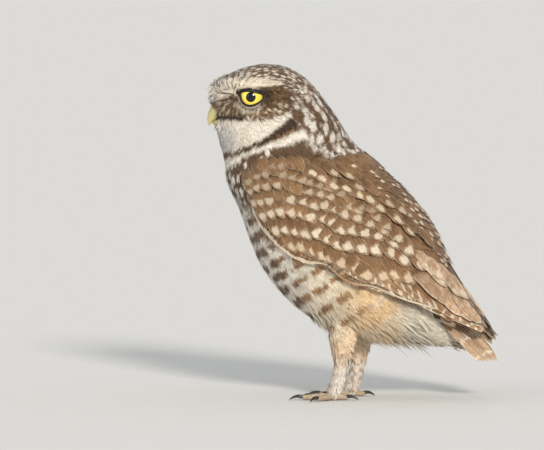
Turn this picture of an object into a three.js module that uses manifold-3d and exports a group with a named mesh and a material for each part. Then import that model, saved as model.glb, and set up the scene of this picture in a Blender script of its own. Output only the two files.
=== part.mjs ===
// A burrowing owl standing on flat ground, in profile, facing -X, with its left side to -Y.
// Sizes are in mm and +Z is up. The body is leaned back, with the wings folded along it.
import * as THREE from "three";
import { mergeVertices } from "three/addons/utils/BufferGeometryUtils.js";
import Module from "manifold-3d";

const wasm = await Module();
wasm.setup();
const { Manifold, Mesh } = wasm;

// The side profile is laid out on a grid of GRID mm a step: gx grows to the tail, gy downwards.
const GRID = 0.63;
const GROUND = 399; // gy of the floor
const MIDDLE = 348.5; // gx of x = 0
const side = (gx, gy) => [(gx - MIDDLE) * GRID, (GROUND - gy) * GRID];

// Driving dimensions.
const GAP = 0.35; // kept between neighbouring nodes
const HEAD_TURN = 12; // degrees the head is turned to the left side
const TURN_LOW = 147; // height where the turn starts in the neck
const TURN_HIGH = 173; // height above which the head is turned in full
const TURN_AXIS = -45; // x of the upright axis the head turns about
const EYE_RADIUS = 9.2;
const EYE_BULGE = 0.7; // how far the clear front stands off the ball
const EYE_AT = side(248.2, 95.8); // centre of the ball in profile
const EYE_FORWARD = 26; // degrees the eye looks forward of straight sideways
const LID_THICK = 1.2;
const WING_THICK = 2.9;
const VANE_THICK = 0.62;
const STANCE = 14.5; // half the distance between the feet
const LEFT_FOOT = -10; // x of the left foot pad
const RIGHT_FOOT = 1; // x of the right foot pad, which stands further back
const TOE_RADIUS = 2.7;
const SLIVER = 0.1; // surface detail smaller than this is taken out

// Head, neck and trunk: front of the section, back of the section, half width in mm,
// roundness of the front half (2 is an ellipse) and where the section is widest.
const TRUNK = [
  [240, 69, 284, 66.5, 13, 1.8, 0.5], // crown
  [215, 81, 303, 77, 22, 1.6, 0.55], // brow
  [208.5, 93, 316, 90, 27, 1.45, 0.57], // eyes
  [210, 108, 327, 104, 29, 1.4, 0.56], // bill
  [215, 126, 338, 119, 30, 1.6, 0.54], // chin
  [220, 143, 349, 137, 29.5, 1.9, 0.52], // throat
  [225, 160, 362, 151, 31.5, 2, 0.5], // collar
  [228, 181, 381, 167, 37, 2, 0.5], // upper breast
  [240, 208, 399, 185, 41.5, 2, 0.5],
  [250, 236, 414, 203, 43.5, 2, 0.5], // breast
  [263, 266, 426, 224, 44, 2, 0.5],
  [286, 296, 436, 246, 42, 2, 0.5], // belly
  [316, 320, 444, 266, 37, 2, 0.5],
  [350, 335, 450, 283, 30, 2, 0.5], // vent
  [383, 339, 456, 295, 22, 2, 0.5],
  [412, 340, 461, 305, 16, 2, 0.5], // rump
  [434, 345, 467, 320, 11, 2, 0.5], // under the tail
];
const TRUNK_ENDS = [side(262, 64), side(458, 341)];

// The outside of the folded wings, from the shoulder to the wing tips.
const WRAP = [
  [225, 160, 363, 149, 32.5, 2, 0.5],
  [228, 181, 383, 170, 39.5, 2, 0.5],
  [240, 208, 403, 189, 45, 2, 0.5],
  [250, 236, 421, 210, 47.5, 2, 0.5],
  [263, 266, 433, 229, 48, 2, 0.5],
  [286, 296, 443, 249, 46, 2, 0.5],
  [316, 322, 453, 266, 41.5, 2, 0.5],
  [350, 338, 462, 282, 35.5, 2, 0.5],
  [383, 345, 469, 294, 29.5, 2, 0.5],
  [412, 347, 476, 304, 24.5, 2, 0.5],
  [440, 350, 485, 315, 19.5, 2, 0.5],
  [465, 352, 493, 326, 15, 2, 0.5],
  [484, 352, 499, 336, 11.5, 2, 0.5],
];
const WRAP_ENDS = [side(290, 150), side(492, 346)];

// Lower edge of the folded wing in profile, from the wrist to the tip.
const WING_EDGE = [
  [249, 188], [252, 202], [262, 222], [280, 243], [300, 257], [322, 263], [345, 279],
  [370, 286], [400, 298], [430, 308], [455, 320], [480, 334],
];
// Line in profile along which the coverts end and the flight feathers start.
const COVERT_LINE = [
  [280, 262], [300, 246], [330, 243], [360, 246], [390, 249], [415, 250], [436, 246], [462, 236],
];

const COLOURS = {
  head: 0x8a6a48, neck: 0x9a7d5c, torso: 0xd8c3a0, tail: 0xc29a6c, bill: 0xb9b27a,
  eye: 0xf0d43c, coverts: 0x8f6d4a, flight: 0xbf9360, thigh: 0xe9c898, shank: 0xe4d6c2,
  toe: 0xa79c8a, claw: 0x2c2622,
};

// A repeatable stream of numbers from 0 to 1.
let seed = 20261;
function chance() {
  seed = (seed * 16807) % 2147483647;
  return seed / 2147483647;
}
const vary = (value, share) => value * (1 + share * (2 * chance() - 1));
const mix = (a, b, t) => a + (b - a) * t;
const mixAll = (a, b, t) => a.map((v, i) => mix(v, b[i], t));
const rad = (degrees) => (degrees * Math.PI) / 180;
const clamp = (v, low, high) => Math.min(high, Math.max(low, v));

// Vectors are plain lists of three numbers.
const add = (a, b, k = 1) => [a[0] + b[0] * k, a[1] + b[1] * k, a[2] + b[2] * k];
const dot = (a, b) => a[0] * b[0] + a[1] * b[1] + a[2] * b[2];
const cross = (a, b) => [
  a[1] * b[2] - a[2] * b[1], a[2] * b[0] - a[0] * b[2], a[0] * b[1] - a[1] * b[0],
];
const unit = (a) => {
  const l = Math.hypot(...a) || 1;
  return [a[0] / l, a[1] / l, a[2] / l];
};

// A point taken round with the turn of the head.
function turned(p) {
  const t = clamp((p[2] - TURN_LOW) / (TURN_HIGH - TURN_LOW), 0, 1);
  const angle = rad(HEAD_TURN) * t * t * (3 - 2 * t);
  const x = p[0] - TURN_AXIS;
  const c = Math.cos(angle), s = Math.sin(angle);
  return [TURN_AXIS + x * c - p[1] * s, x * s + p[1] * c, p[2]];
}

// Smooth curve through evenly spaced rows of numbers.
function smooth(rows, u) {
  const i = clamp(Math.floor(u), 0, rows.length - 2), t = clamp(u - i, 0, 1);
  const a = rows[Math.max(i - 1, 0)], b = rows[i];
  const c = rows[i + 1], d = rows[Math.min(i + 2, rows.length - 1)];
  return b.map((_, k) => {
    const m = (c[k] - a[k]) / 2, n = (d[k] - b[k]) / 2;
    const t2 = t * t, t3 = t2 * t;
    return (2 * t3 - 3 * t2 + 1) * b[k] + (t3 - 2 * t2 + t) * m
      + (3 * t2 - 2 * t3) * c[k] + (t3 - t2) * n;
  });
}

// One closed solid from points and triangles, turned so that its faces point outwards.
function solid(points, faces) {
  let volume = 0;
  for (const [a, b, c] of faces) volume += dot(points[a], cross(points[b], points[c]));
  const list = volume < 0 ? faces.map(([a, b, c]) => [a, c, b]) : faces;
  return new Manifold(new Mesh({
    numProp: 3,
    vertProperties: new Float32Array(points.flat()),
    triVerts: new Uint32Array(list.flat()),
  }));
}

// A closed solid from rings of points between two poles.
function rings(list, first, last) {
  const n = list[0].length;
  const points = [first, ...list.flat(), last], faces = [], end = points.length - 1;
  const at = (i, j) => 1 + i * n + (j % n);
  for (let j = 0; j < n; j++) {
    faces.push([0, at(0, j + 1), at(0, j)], [end, at(list.length - 1, j), at(list.length - 1, j + 1)]);
    for (let i = 0; i + 1 < list.length; i++) {
      faces.push([at(i, j), at(i, j + 1), at(i + 1, j + 1)], [at(i, j), at(i + 1, j + 1), at(i + 1, j)]);
    }
  }
  return solid(points, faces);
}

// A body made of sections across its length, each given by its ends in profile and its width.
class Form {
  constructor(rows, ends) {
    this.rows = rows.map((r) => [...side(r[0], r[1]), ...side(r[2], r[3]), ...r.slice(4)]);
    this.ends = ends;
    this.last = rows.length - 1;
  }
  // Point of section u at angle a: 0 at the front, PI at the back, y taken to the given side.
  at(u, a, hand = 1, grow = 0) {
    const [fx, fz, bx, bz, w, n, m] = smooth(this.rows, u);
    const l = Math.hypot(fx - bx, fz - bz), ex = (fx - bx) / l, ez = (fz - bz) / l;
    const c = Math.cos(a), s = Math.abs(Math.sin(a));
    const k = c > 0 ? 2 / n : 1;
    const p = c > 0 ? c ** k * (l * m + grow) : c * (l * (1 - m) + grow);
    const q = s ** k * (w + grow);
    const cx = mix(fx, bx, m), cz = mix(fz, bz, m);
    return [cx + ex * p, hand * Math.sign(Math.sin(a) || 1) * q, cz + ez * p];
  }
  normal(u, a, hand) {
    const du = u > this.last - 0.05 ? -0.05 : 0.05;
    const p = this.at(u, a, hand);
    const along = add(this.at(u + du, a, hand), p, -1);
    const round = add(this.at(u, a + 0.02, hand), this.at(u, a - 0.02, hand), -1);
    const n = unit(cross(along, round));
    const [fx, fz, bx, bz] = smooth(this.rows, u);
    const out = add(p, [(fx + bx) / 2, 0, (fz + bz) / 2], -1);
    return dot(n, out) < 0 ? [-n[0], -n[1], -n[2]] : n;
  }
  // Section and angle of the point seen at x, z in profile.
  find(x, z) {
    const off = (u) => {
      const [fx, fz, bx, bz] = smooth(this.rows, u);
      return (bx - fx) * (z - fz) - (bz - fz) * (x - fx);
    };
    let low = 0, high = this.last;
    for (let u = 0; u < this.last; u += 0.1) {
      if (off(u) * off(Math.min(u + 0.1, this.last)) <= 0) {
        low = u;
        high = Math.min(u + 0.1, this.last);
        break;
      }
    }
    if (low === 0 && high === this.last) low = high = Math.abs(off(0)) < Math.abs(off(high)) ? 0 : high;
    for (let i = 0; i < 20; i++) {
      const mid = (low + high) / 2;
      if (off(low) * off(mid) <= 0) high = mid;
      else low = mid;
    }
    const u = (low + high) / 2, [fx, fz, bx, bz, , n, m] = smooth(this.rows, u);
    const l2 = (bx - fx) ** 2 + (bz - fz) ** 2;
    const f = clamp(((x - fx) * (bx - fx) + (z - fz) * (bz - fz)) / l2, 0.0005, 0.9995);
    const a = f < m ? Math.acos(((m - f) / m) ** (n / 2)) : Math.PI - Math.acos((f - m) / (1 - m));
    return [u, a];
  }
  // Point on the surface seen at gx, gy in profile, raised by lift.
  on(gx, gy, hand, lift = 0) {
    const [u, a] = this.find(...side(gx, gy));
    return add(this.at(u, a, hand), this.normal(u, a, hand), lift);
  }
  build(perRow, sides, grow = 0) {
    const list = [];
    for (let i = 0; i <= this.last * perRow; i++) {
      const ring = [];
      for (let j = 0; j < sides; j++) ring.push(this.at(i / perRow, (2 * Math.PI * j) / sides, 1, grow));
      list.push(ring);
    }
    const pole = (end, row) => {
      const [fx, fz, bx, bz] = row;
      const d = unit([end[0] - (fx + bx) / 2, 0, end[1] - (fz + bz) / 2]);
      return [end[0] + d[0] * grow, 0, end[1] + d[2] * grow];
    };
    return rings(list, pole(this.ends[0], this.rows[0]), pole(this.ends[1], this.rows[this.last]));
  }
}

// A round bar through points, its radius given at each of them, flattened across by flat.
function rope(path, radii, sides = 8, flat = 1, grow = 0) {
  const list = path.map((p, i) => {
    const along = unit(add(path[Math.min(i + 1, path.length - 1)], path[Math.max(i - 1, 0)], -1));
    const over = Math.abs(along[2]) > 0.9 ? [1, 0, 0] : [0, 0, 1];
    const s = unit(cross(along, over)), n = cross(s, along);
    const ring = [];
    for (let j = 0; j < sides; j++) {
      const t = (2 * Math.PI * j) / sides;
      const r = radii[i] + grow;
      ring.push(add(add(p, s, r * Math.cos(t)), n, (radii[i] * flat + grow) * Math.sin(t)));
    }
    return ring;
  });
  const n = path.length - 1;
  const a = unit(add(path[0], path[1], -1)), b = unit(add(path[n], path[n - 1], -1));
  return rings(list, add(path[0], a, radii[0] * 0.6 + grow), add(path[n], b, radii[n] * 0.8 + grow));
}

// A thin vane through frames of centre p, sideways s and outward n, with its half widths.
function blade(frames, widths, lifts, thick, grow = 0) {
  const points = [], faces = [], n = frames.length;
  frames.forEach(({ p, s, n: out }, i) => {
    const t = (thick * (i === n - 1 ? 0.6 : 1)) / 2 + grow, w = widths[i] + grow;
    for (const [c, face] of [[-1, 1], [1, 1], [1, -1], [-1, -1]]) {
      points.push(add(add(p, s, c * w), out, lifts[i] + face * t));
    }
  });
  for (let i = 0; i + 1 < n; i++) {
    for (let k = 0; k < 4; k++) {
      const a = i * 4 + k, b = i * 4 + ((k + 1) % 4);
      // Both broad faces are cut along the same diagonal.
      faces.push(...(k === 2 ? [[a, b, a + 4], [b, b + 4, a + 4]] : [[a, b, b + 4], [a, b + 4, a + 4]]));
    }
  }
  const e = (n - 1) * 4;
  faces.push([0, 2, 1], [0, 3, 2], [e, e + 1, e + 2], [e, e + 2, e + 3]);
  return solid(points, faces);
}

const FEATHER = [0.6, 1, 0.95, 0.35]; // half width along a rounded feather
const QUILL = [0.6, 0.9, 1, 0.85, 0.3]; // half width along a flight feather
const LOCK = [0.8, 1, 0.65, 0.12]; // half width along a tapering lock

// A vane lying on a form, from a root to a tip seen in profile, rising from the surface.
function vane(form, hand, o, grow = 0) {
  const shape = o.shape || FEATHER, steps = shape.length - 1;
  const [u0, a0] = form.find(...side(...o.root)), [u1, a1] = form.find(...side(...o.tip));
  const place = (t) => {
    const u = mix(u0, u1, t), a = mix(a0, a1, t);
    return [form.at(u, a, hand), form.normal(u, a, hand)];
  };
  const frames = shape.map((_, i) => {
    const t = i / steps, [p, n] = place(t);
    const along = unit(add(place(Math.min(t + 0.05, 1))[0], place(Math.max(t - 0.05, 0))[0], -1));
    const across = unit(cross(n, along));
    return { p, n, s: unit(add(across, n, hand * (o.roll || 0))) };
  });
  const lifts = shape.map((_, i) => mix(o.lift[0], o.lift[1], Math.min(1, (i / steps) * (o.rise || 2.4))));
  return blade(frames, shape.map((k) => k * o.width), lifts, o.thick || VANE_THICK, grow);
}

// A row of vanes between a first and a last one.
function tier(form, hand, o, grow = 0) {
  const list = [];
  for (let i = 0; i < o.count; i++) {
    const t = o.count > 1 ? i / (o.count - 1) : 0;
    const bow = Math.sin(Math.PI * t) * (o.bow || 0);
    const root = mixAll(o.root[0], o.root[1], t), tip = mixAll(o.tip[0], o.tip[1], t);
    tip[1] += bow + (o.loose || 0) * (2 * chance() - 1);
    tip[0] += (o.loose || 0) * (2 * chance() - 1);
    root[1] += bow;
    const lift = [o.lift[0], o.lift[1] + (o.step || 0) * i];
    list.push(vane(form, hand, { ...o, root, tip, lift, width: mix(o.width[0], o.width[1], t) }, grow));
  }
  return list;
}

const join = (list) => Manifold.union(list);
// The largest closed piece of a solid, with slivers along its edges taken out.
function main(made) {
  return made.simplify(SLIVER).decompose().reduce((a, b) => (b.volume() > a.volume() ? b : a));
}

const trunk = new Form(TRUNK, TRUNK_ENDS);
const wrap = new Form(WRAP, WRAP_ENDS);

// A slab as thick as the gap standing on a line in profile, across the whole body.
function curtain(line, thick = GAP) {
  const pts = line.map(([gx, gy]) => side(gx, gy));
  const list = pts.map((p, i) => {
    const a = pts[Math.max(i - 1, 0)], b = pts[Math.min(i + 1, pts.length - 1)];
    const l = Math.hypot(b[0] - a[0], b[1] - a[1]);
    const nx = (-(b[1] - a[1]) / l) * thick / 2, nz = ((b[0] - a[0]) / l) * thick / 2;
    return [[p[0] + nx, -90, p[1] + nz], [p[0] + nx, 90, p[1] + nz],
      [p[0] - nx, 90, p[1] - nz], [p[0] - nx, -90, p[1] - nz]];
  });
  const n = list.length - 1, middle = (q) => add(add(q[0], q[2], 1), [0, 0, 0]).map((v) => v / 2);
  return rings(list, middle(list[0]), middle(list[n]));
}
const HEAD_CUT = [[190, 146], [222, 141.5], [262, 140], [300, 133], [335, 118], [370, 100]];
const NECK_CUT = [[190, 180], [225, 172], [262, 168], [310, 160], [350, 145], [390, 118]];
const TAIL_CUT = [[396, 372], [410, 340], [436, 305], [470, 262]];

// Pieces of a solid parted by curtains, from the top down.
function parted(made, cuts) {
  return cuts.reduce((left, cut) => left.subtract(cut), made).decompose()
    .filter((piece) => piece.volume() > 50)
    .sort((a, b) => {
      const ba = a.boundingBox(), bb = b.boundingBox();
      return bb.max[2] + bb.min[2] - ba.max[2] - ba.min[2];
    });
}

// Eye ball with a clear bulge in front, looking along dir.
function eyeBall(hand, grow = 0) {
  const angle = rad(EYE_FORWARD);
  const dir = [-Math.sin(angle), hand * Math.cos(angle), 0.03];
  const d = unit(dir), s = unit(cross(d, [0, 0, 1])), n = cross(s, d), centre = eyeCentre(hand);
  const list = [];
  for (let i = 1; i < 8; i++) {
    const t = (Math.PI * i) / 8, ring = [];
    const r = EYE_RADIUS + grow + EYE_BULGE * Math.exp(-((t / 0.55) ** 2));
    for (let j = 0; j < 14; j++) {
      const v = (2 * Math.PI * j) / 14;
      const q = add(add([0, 0, 0], s, Math.sin(t) * Math.cos(v)), n, Math.sin(t) * Math.sin(v));
      ring.push(add(centre, add(q, d, Math.cos(t)), r));
    }
    list.push(ring);
  }
  const near = EYE_RADIUS + grow + EYE_BULGE;
  return rings(list, add(centre, d, near), add(centre, d, -EYE_RADIUS - grow));
}
function eyeCentre(hand) {
  const front = trunk.on(243, 96, hand);
  return [EYE_AT[0], hand * (Math.abs(front[1]) - EYE_RADIUS * 0.86), EYE_AT[1]];
}

// Opening between the lids, straight above and rounded below, cut in from the side.
const LID_OPENING = [
  [234.6, 91.9], [238.4, 90.1], [246, 90.9], [255.2, 93.6], [254, 97.4], [249.5, 101], [243.6, 103],
  [238.2, 101.8], [235, 97.6],
];
function lidOpening(hand) {
  const y0 = hand * 4, y1 = hand * 45;
  const at = LID_OPENING.map(([gx, gy]) => side(gx, gy));
  const ring = (y) => at.map(([x, z]) => [x, y, z]);
  const mid = side(244.5, 96);
  return rings([ring(y0), ring(y1)], [mid[0], y0, mid[1]], [mid[0], y1, mid[1]]);
}

function onHead(points, hand, lifts) {
  return points.map(([gx, gy], i) => trunk.on(gx, gy, hand, lifts[i] ?? lifts[0]));
}

// Raised brow, edge of the face disc, fold below the eye and bristles beside the bill.
function headForms(hand) {
  const brow = onHead([[211, 88], [221, 85.5], [233, 86], [248, 87], [264, 88], [278, 92]], hand, [-0.6]);
  const disc = onHead([[279, 92], [284, 103], [282, 116], [271, 128.5], [256, 138]], hand, [-1.05]);
  const fold = onHead([[229, 105.5], [237, 110.5], [248, 111.5], [259, 106]], hand, [-0.9]);
  const list = [
    rope(brow, [1.4, 2.3, 2.7, 2.6, 2.1, 0.9], 6),
    rope(disc, [0.9, 2, 2.6, 2.4, 1], 5),
    rope(fold, [0.8, 1.7, 1.7, 0.8], 5),
  ];
  // Flat locks of bristle that lie along the bill and bend down over its sides.
  for (let i = 0; i < 4; i++) {
    const gy = 96.5 + 5 * i, y = 6.2 - 0.2 * i;
    const path = [trunk.on(228, gy, hand, -1.6), trunk.on(219.5, gy + 1.5, hand, -0.2)];
    for (const [gx, down, out] of [[209.5, 4, 1], [202.5 + 0.7 * i, 8.5 - i, 0.9]]) {
      const [x, z] = side(gx, gy + down);
      path.push([x, hand * y * out, z]);
    }
    const frames = path.map((p, k) => {
      const along = unit(add(path[Math.min(k + 1, 3)], path[Math.max(k - 1, 0)], -1));
      const s = unit(cross([0, hand, 0.25], along));
      return { p, s, n: unit(cross(along, s)) };
    });
    list.push(blade(frames, [2.2, 2.5, 2.1, 0.4], [0, 0, 0, 0], 1.3));
  }
  return list;
}

const BILL_UPPER = [
  [222, 97, 226, 113, 4.3, 2, 0.5], [214, 101.5, 221, 115.5, 4.1, 2, 0.5],
  [209, 107.5, 217, 117.5, 3.5, 2, 0.5], [206.6, 114, 213, 119.3, 2.6, 2, 0.5],
  [206.2, 119.5, 210.2, 121.3, 1.5, 2, 0.5],
];
const BILL_LOWER = [
  [219, 119.4, 225, 126.5, 3.3, 2, 0.5], [214.6, 120.6, 218.6, 125.6, 2.5, 2, 0.5],
  [212.4, 122, 214.4, 124.4, 1.4, 2, 0.5],
];
const billUpper = new Form(BILL_UPPER, [side(226, 104), side(208, 125.6)]);
const billLower = new Form(BILL_LOWER, [side(223, 123), side(212, 124.8)]);

function bill() {
  const nostril = (hand) => rope([[-86, hand * 5.5, 183.2], [-84.4, hand * 1.6, 183.4]], [0.8, 0.7], 6);
  const upper = billUpper.build(2, 14).subtract(join([nostril(1), nostril(-1)]));
  return { upper: main(upper), lower: main(billLower.build(2, 12).subtract(billUpper.build(2, 14, GAP))) };
}

function mouthLine(hand) {
  const path = onHead([[220, 117], [227, 117.2], [236, 118.4]], hand, [0.3, 0.3, 0.4]);
  return rope(path, [0.75, 0.7, 0.35], 5);
}

// Locks that hang from the belly, the flanks and under the tail.
function bellyLocks(hand) {
  const tail = { shape: LOCK, thick: 1.6 };
  return [
    ...tier(trunk, hand, { ...tail, count: 4, root: [[316, 308], [376, 316]], tip: [[333, 336], [396, 343]],
      bow: 5, loose: 1.6, width: [5, 5], lift: [-2.6, 1.4] }),
    ...tier(trunk, hand, { ...tail, count: 3, root: [[330, 292], [388, 302]], tip: [[350, 330], [404, 335]],
      bow: 3, loose: 1.6, width: [5.5, 5], lift: [-2.6, 1.8] }),
  ];
}
function ventLocks(hand) {
  const tail = { shape: LOCK, thick: 1.6 };
  return [
    ...tier(trunk, hand, { ...tail, count: 3, root: [[412, 328], [444, 316]], tip: [[441, 349], [461, 338]],
      loose: 1, width: [4.6, 4], lift: [-2.4, 1] }),
    ...tier(trunk, hand, { ...tail, count: 1, root: [[438, 332], [444, 330]], tip: [[458, 352], [464, 351]],
      loose: 0.6, width: [4, 4], lift: [-1.5, 0.6] }),
  ];
}

// Tail feathers, the middle pair on top and the outer ones lower and shorter.
function tailVanes(hand, grow = 0) {
  const list = [];
  const spine = [[436, 306], [452, 317], [468, 331], [485, 347], [499, 361]];
  for (let i = 0; i < 5; i++) {
    const frames = spine.map(([gx, gy], k) => {
      const t = k / 4, [x, z] = side(gx, gy);
      const drop = (i + (hand > 0 ? 0.5 : 0)) * mix(1.3, 2.3, t), out = 2 + i * mix(2, 4, t);
      const back = t * 0.9 * i * i * 0.14;
      return {
        p: [x - drop * 0.68 - back, hand * out, z - drop * 0.73 + back],
        n: unit([0.68, hand * 0.13 * i, 0.73]),
      };
    });
    frames.forEach((f, k) => {
      const a = frames[Math.max(k - 1, 0)].p, b = frames[Math.min(k + 1, 4)].p;
      f.s = unit(cross(f.n, unit(add(b, a, -1))));
    });
    const widths = [0.6, 0.85, 1, 0.95, 0.45].map((w) => w * 5.2);
    list.push(blade(frames, widths, [0, 0, 0, 0, 0], 0.8, grow));
  }
  return list;
}
function tailRoot(grow = 0) {
  const path = [side(440, 314), side(450, 325), side(462, 338), side(474, 349)].map(([x, z]) => [x, 0, z]);
  return rope(path, [13, 12, 9, 4], 10, 0.42, grow);
}

// Wing plate between its lower edge and the line where it meets the other wing on the back.
function wingPlate(hand) {
  const long = 13, wide = 5, outer = [], inner = [];
  for (let i = 0; i <= long; i++) {
    const t = (i / long) * (WING_EDGE.length - 1);
    const [gx, gy] = smooth(WING_EDGE, t), [u, low] = wrap.find(...side(gx, gy));
    const gap = hand < 0 ? 5.5 * clamp((u - 8) / 3, 0, 1) : 0;
    const w = smooth(wrap.rows, u)[4], off = gap + mix(15, 1.1, clamp((u - 0.8) / 7, 0, 1));
    const high = Math.PI - Math.asin(Math.min(0.95, off / w));
    for (let j = 0; j <= wide; j++) {
      const a = mix(low, high, j / wide), p = wrap.at(u, a, hand), n = wrap.normal(u, a, hand);
      const edge = Math.min(1, 0.3 + Math.min(j, wide - j) * 0.5, 0.3 + Math.min(i, long - i) * 0.5);
      const rear = mix(1, 0.5, i / long);
      outer.push(p);
      inner.push(add(p, n, -WING_THICK * edge * rear));
    }
  }
  return closedSheet(outer, inner, long, wide);
}

// A closed solid between two grids of points of the same size.
function closedSheet(outer, inner, long, wide) {
  const points = [...outer, ...inner], faces = [], half = outer.length;
  const at = (i, j, k = 0) => k * half + i * (wide + 1) + j;
  const quad = (a, b, c, d) => faces.push([a, b, c], [a, c, d]);
  for (let i = 0; i < long; i++) {
    for (let j = 0; j < wide; j++) {
      quad(at(i, j), at(i + 1, j), at(i + 1, j + 1), at(i, j + 1));
      faces.push([at(i, j, 1), at(i + 1, j + 1, 1), at(i + 1, j, 1)]);
      faces.push([at(i, j, 1), at(i, j + 1, 1), at(i + 1, j + 1, 1)]);
    }
    quad(at(i, 0), at(i, 0, 1), at(i + 1, 0, 1), at(i + 1, 0));
    quad(at(i, wide), at(i + 1, wide), at(i + 1, wide, 1), at(i, wide, 1));
  }
  for (let j = 0; j < wide; j++) {
    quad(at(0, j), at(0, j + 1), at(0, j + 1, 1), at(0, j, 1));
    quad(at(long, j), at(long, j, 1), at(long, j + 1, 1), at(long, j + 1));
  }
  return solid(points, faces);
}

// Scapulars and coverts, in tiers from the shoulder back.
function covertVanes(hand) {
  const row = { loose: 1, roll: 0.08 };
  return [
    ...tier(wrap, hand, { ...row, count: 4, root: [[266, 197], [326, 183]], tip: [[284, 220], [352, 208]],
      width: [5, 5.4], lift: [-1.4, 0.6] }),
    ...tier(wrap, hand, { ...row, count: 4, root: [[342, 182], [394, 205]], tip: [[368, 207], [419, 237]],
      width: [5.6, 6], lift: [-1.4, 0.8] }),
    ...tier(wrap, hand, { ...row, count: 4, root: [[284, 222], [374, 218]], tip: [[302, 243], [400, 243]],
      width: [5.2, 5.8], bow: 3, lift: [-1.4, 0.7] }),
  ];
}
// The last tier of coverts and the thumb feathers, which lie over the roots of the flight feathers.
function greaterCoverts(hand, grow = 0) {
  const thumb = tier(wrap, hand, { count: 2, root: [[303, 245], [318, 250]], tip: [[330, 262], [346, 271]],
    width: [3.6, 3.6], lift: [-1.2, 0.5] }, grow);
  return [...thumb, ...tier(wrap, hand, { count: 6, root: [[300, 238], [414, 232]], tip: [[322, 260], [438, 263]],
    width: [4.8, 5.8], bow: 2, roll: 0.08, lift: [-1.4, 1.4], rise: 2.2 }, grow)];
}
// Primaries along the lower edge, then secondaries and tertials above them.
function flightVanes(hand) {
  const last = hand < 0 ? [484, 330] : [498, 339];
  const row = { shape: QUILL, roll: 0.16, rise: 3 };
  return [
    ...tier(wrap, hand, { ...row, count: 5, root: [[326, 266], [372, 270]], tip: [[444, 315], last],
      width: [2.8, 3.4], lift: [-1.1, 0.1] }),
    ...tier(wrap, hand, { ...row, count: 4, root: [[372, 263], [420, 262]], tip: [[438, 300], [466, 307]],
      width: [3.4, 4], lift: [-1.1, 0.45] }),
    ...tier(wrap, hand, { ...row, count: 2, root: [[420, 254], [438, 262]], tip: [[462, 293], [478, 312]],
      width: [5, 5], lift: [-1, 0.9] }),
  ];
}

// Feathered leg: tibia, tarsus and foot pad, cut below the belly into two nodes.
function legPath(hand, x) {
  const y = hand * STANCE;
  return {
    thigh: [[x + 6, hand * 17, 54], [x + 6, hand * 16.5, 44], [x + 6, hand * 15.5, 35], [x + 5.6, y, 27],
      [x + 5, y, 22.5]],
    shank: [[x + 5.1, y, 23], [x + 4.4, y, 17], [x + 3, y, 11], [x + 1, y, 6.3], [x - 0.2, y, 2.8]],
  };
}
const THIGH_RADII = [12, 12.5, 9.5, 6.6, 4.4];
const SHANK_RADII = [3.9, 4.6, 4.9, 5, 4.2];

const TOES = [
  // name, direction in degrees from straight ahead (outwards is +), length, claw length
  ["inner", -30, 15.5, 8.5],
  ["middle", 3, 19, 8.5],
  ["outer", 52, 15.5, 8],
  ["hind", 168, 9, 7.5],
];
function foot(hand, x) {
  const centre = [x, hand * STANCE, 0];
  return TOES.map(([name, degrees, length, claw]) => {
    const t = rad(degrees), d = [-Math.cos(t), hand * Math.sin(t), 0];
    const at = (k, z) => add(add(centre, d, k), [0, 0, z]);
    const path = [at(3.4, 2.1), at(length * 0.45, 2), at(length * 0.7, 1.9), at(length, 1.5)];
    const tip = [at(length - 2, 2), at(length + claw * 0.35, 2.6), at(length + claw * 0.75, 1.7),
      at(length + claw, 0.5)];
    return {
      name,
      toe: (g = 0) => rope(path, [TOE_RADIUS, 2.5, 2.35, 1.9], 8, 0.95, g),
      claw: (g = 0) => rope(tip, [1.25, 1.25, 0.8, 0.25], 6, 1, g),
    };
  });
}

// Everything above the floor.
function above(made, height = 0) {
  return made.trimByPlane([0, 0, 1], height);
}

const nodes = {};
function node(name, made, colour, roughness = 0.8) {
  nodes[name] = { made: main(made), colour, roughness };
}

// Face, neck and trunk in one piece, with what stands on them, then parted.
const cuts = { head: curtain(HEAD_CUT), neck: curtain(NECK_CUT), tail: curtain(TAIL_CUT) };
const trunkPlain = trunk.build(1.5, 24);
const [headRaw, neckRaw, ...lower] = parted(trunkPlain, [cuts.head, cuts.neck, cuts.tail]);
const [torsoRaw, rumpRaw] = lower;

const eyes = { left: eyeBall(-1), right: eyeBall(1) };
const beak = bill();
const lids = [-1, 1].map((hand) => eyeBall(hand, LID_THICK));
const head = join([headRaw, ...lids, ...headForms(-1), ...headForms(1)])
  .subtract(join([
    ...[-1, 1].map((hand) => eyeBall(hand, GAP)), lidOpening(-1), lidOpening(1),
    billUpper.build(2, 14, GAP), billLower.build(2, 12, GAP), mouthLine(-1), mouthLine(1),
  ]))
  .subtract(cuts.head).trimByPlane([0, 0, 1], 158);

const hands = { left: -1, right: 1 };
const legs = { left: legPath(-1, LEFT_FOOT), right: legPath(1, RIGHT_FOOT) };
const thighs = (grow) => Object.values(legs).map((leg) => rope(leg.thigh, THIGH_RADII, 14, 1, grow));

const tail = join([rumpRaw, tailRoot(), ...ventLocks(-1), ...ventLocks(1), ...tailVanes(-1), ...tailVanes(1)])
  .subtract(cuts.tail);
const tailGrown = join([trunk.build(1, 24, GAP), tailRoot(GAP), ...tailVanes(-1, GAP), ...tailVanes(1, GAP)]);
const torso = join([torsoRaw, ...bellyLocks(-1), ...bellyLocks(1)])
  .subtract(join([cuts.tail, cuts.neck, ...thighs(GAP)]));

node("head", head, COLOURS.head);
node("neck", neckRaw, COLOURS.neck);
node("torso", torso, COLOURS.torso);
node("tail", main(tail), COLOURS.tail);
node("bill_upper", beak.upper, COLOURS.bill, 0.4);
node("bill_lower", beak.lower, COLOURS.bill, 0.4);
node("eye_left", eyes.left, COLOURS.eye, 0.1);
node("eye_right", eyes.right, COLOURS.eye, 0.1);

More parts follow.
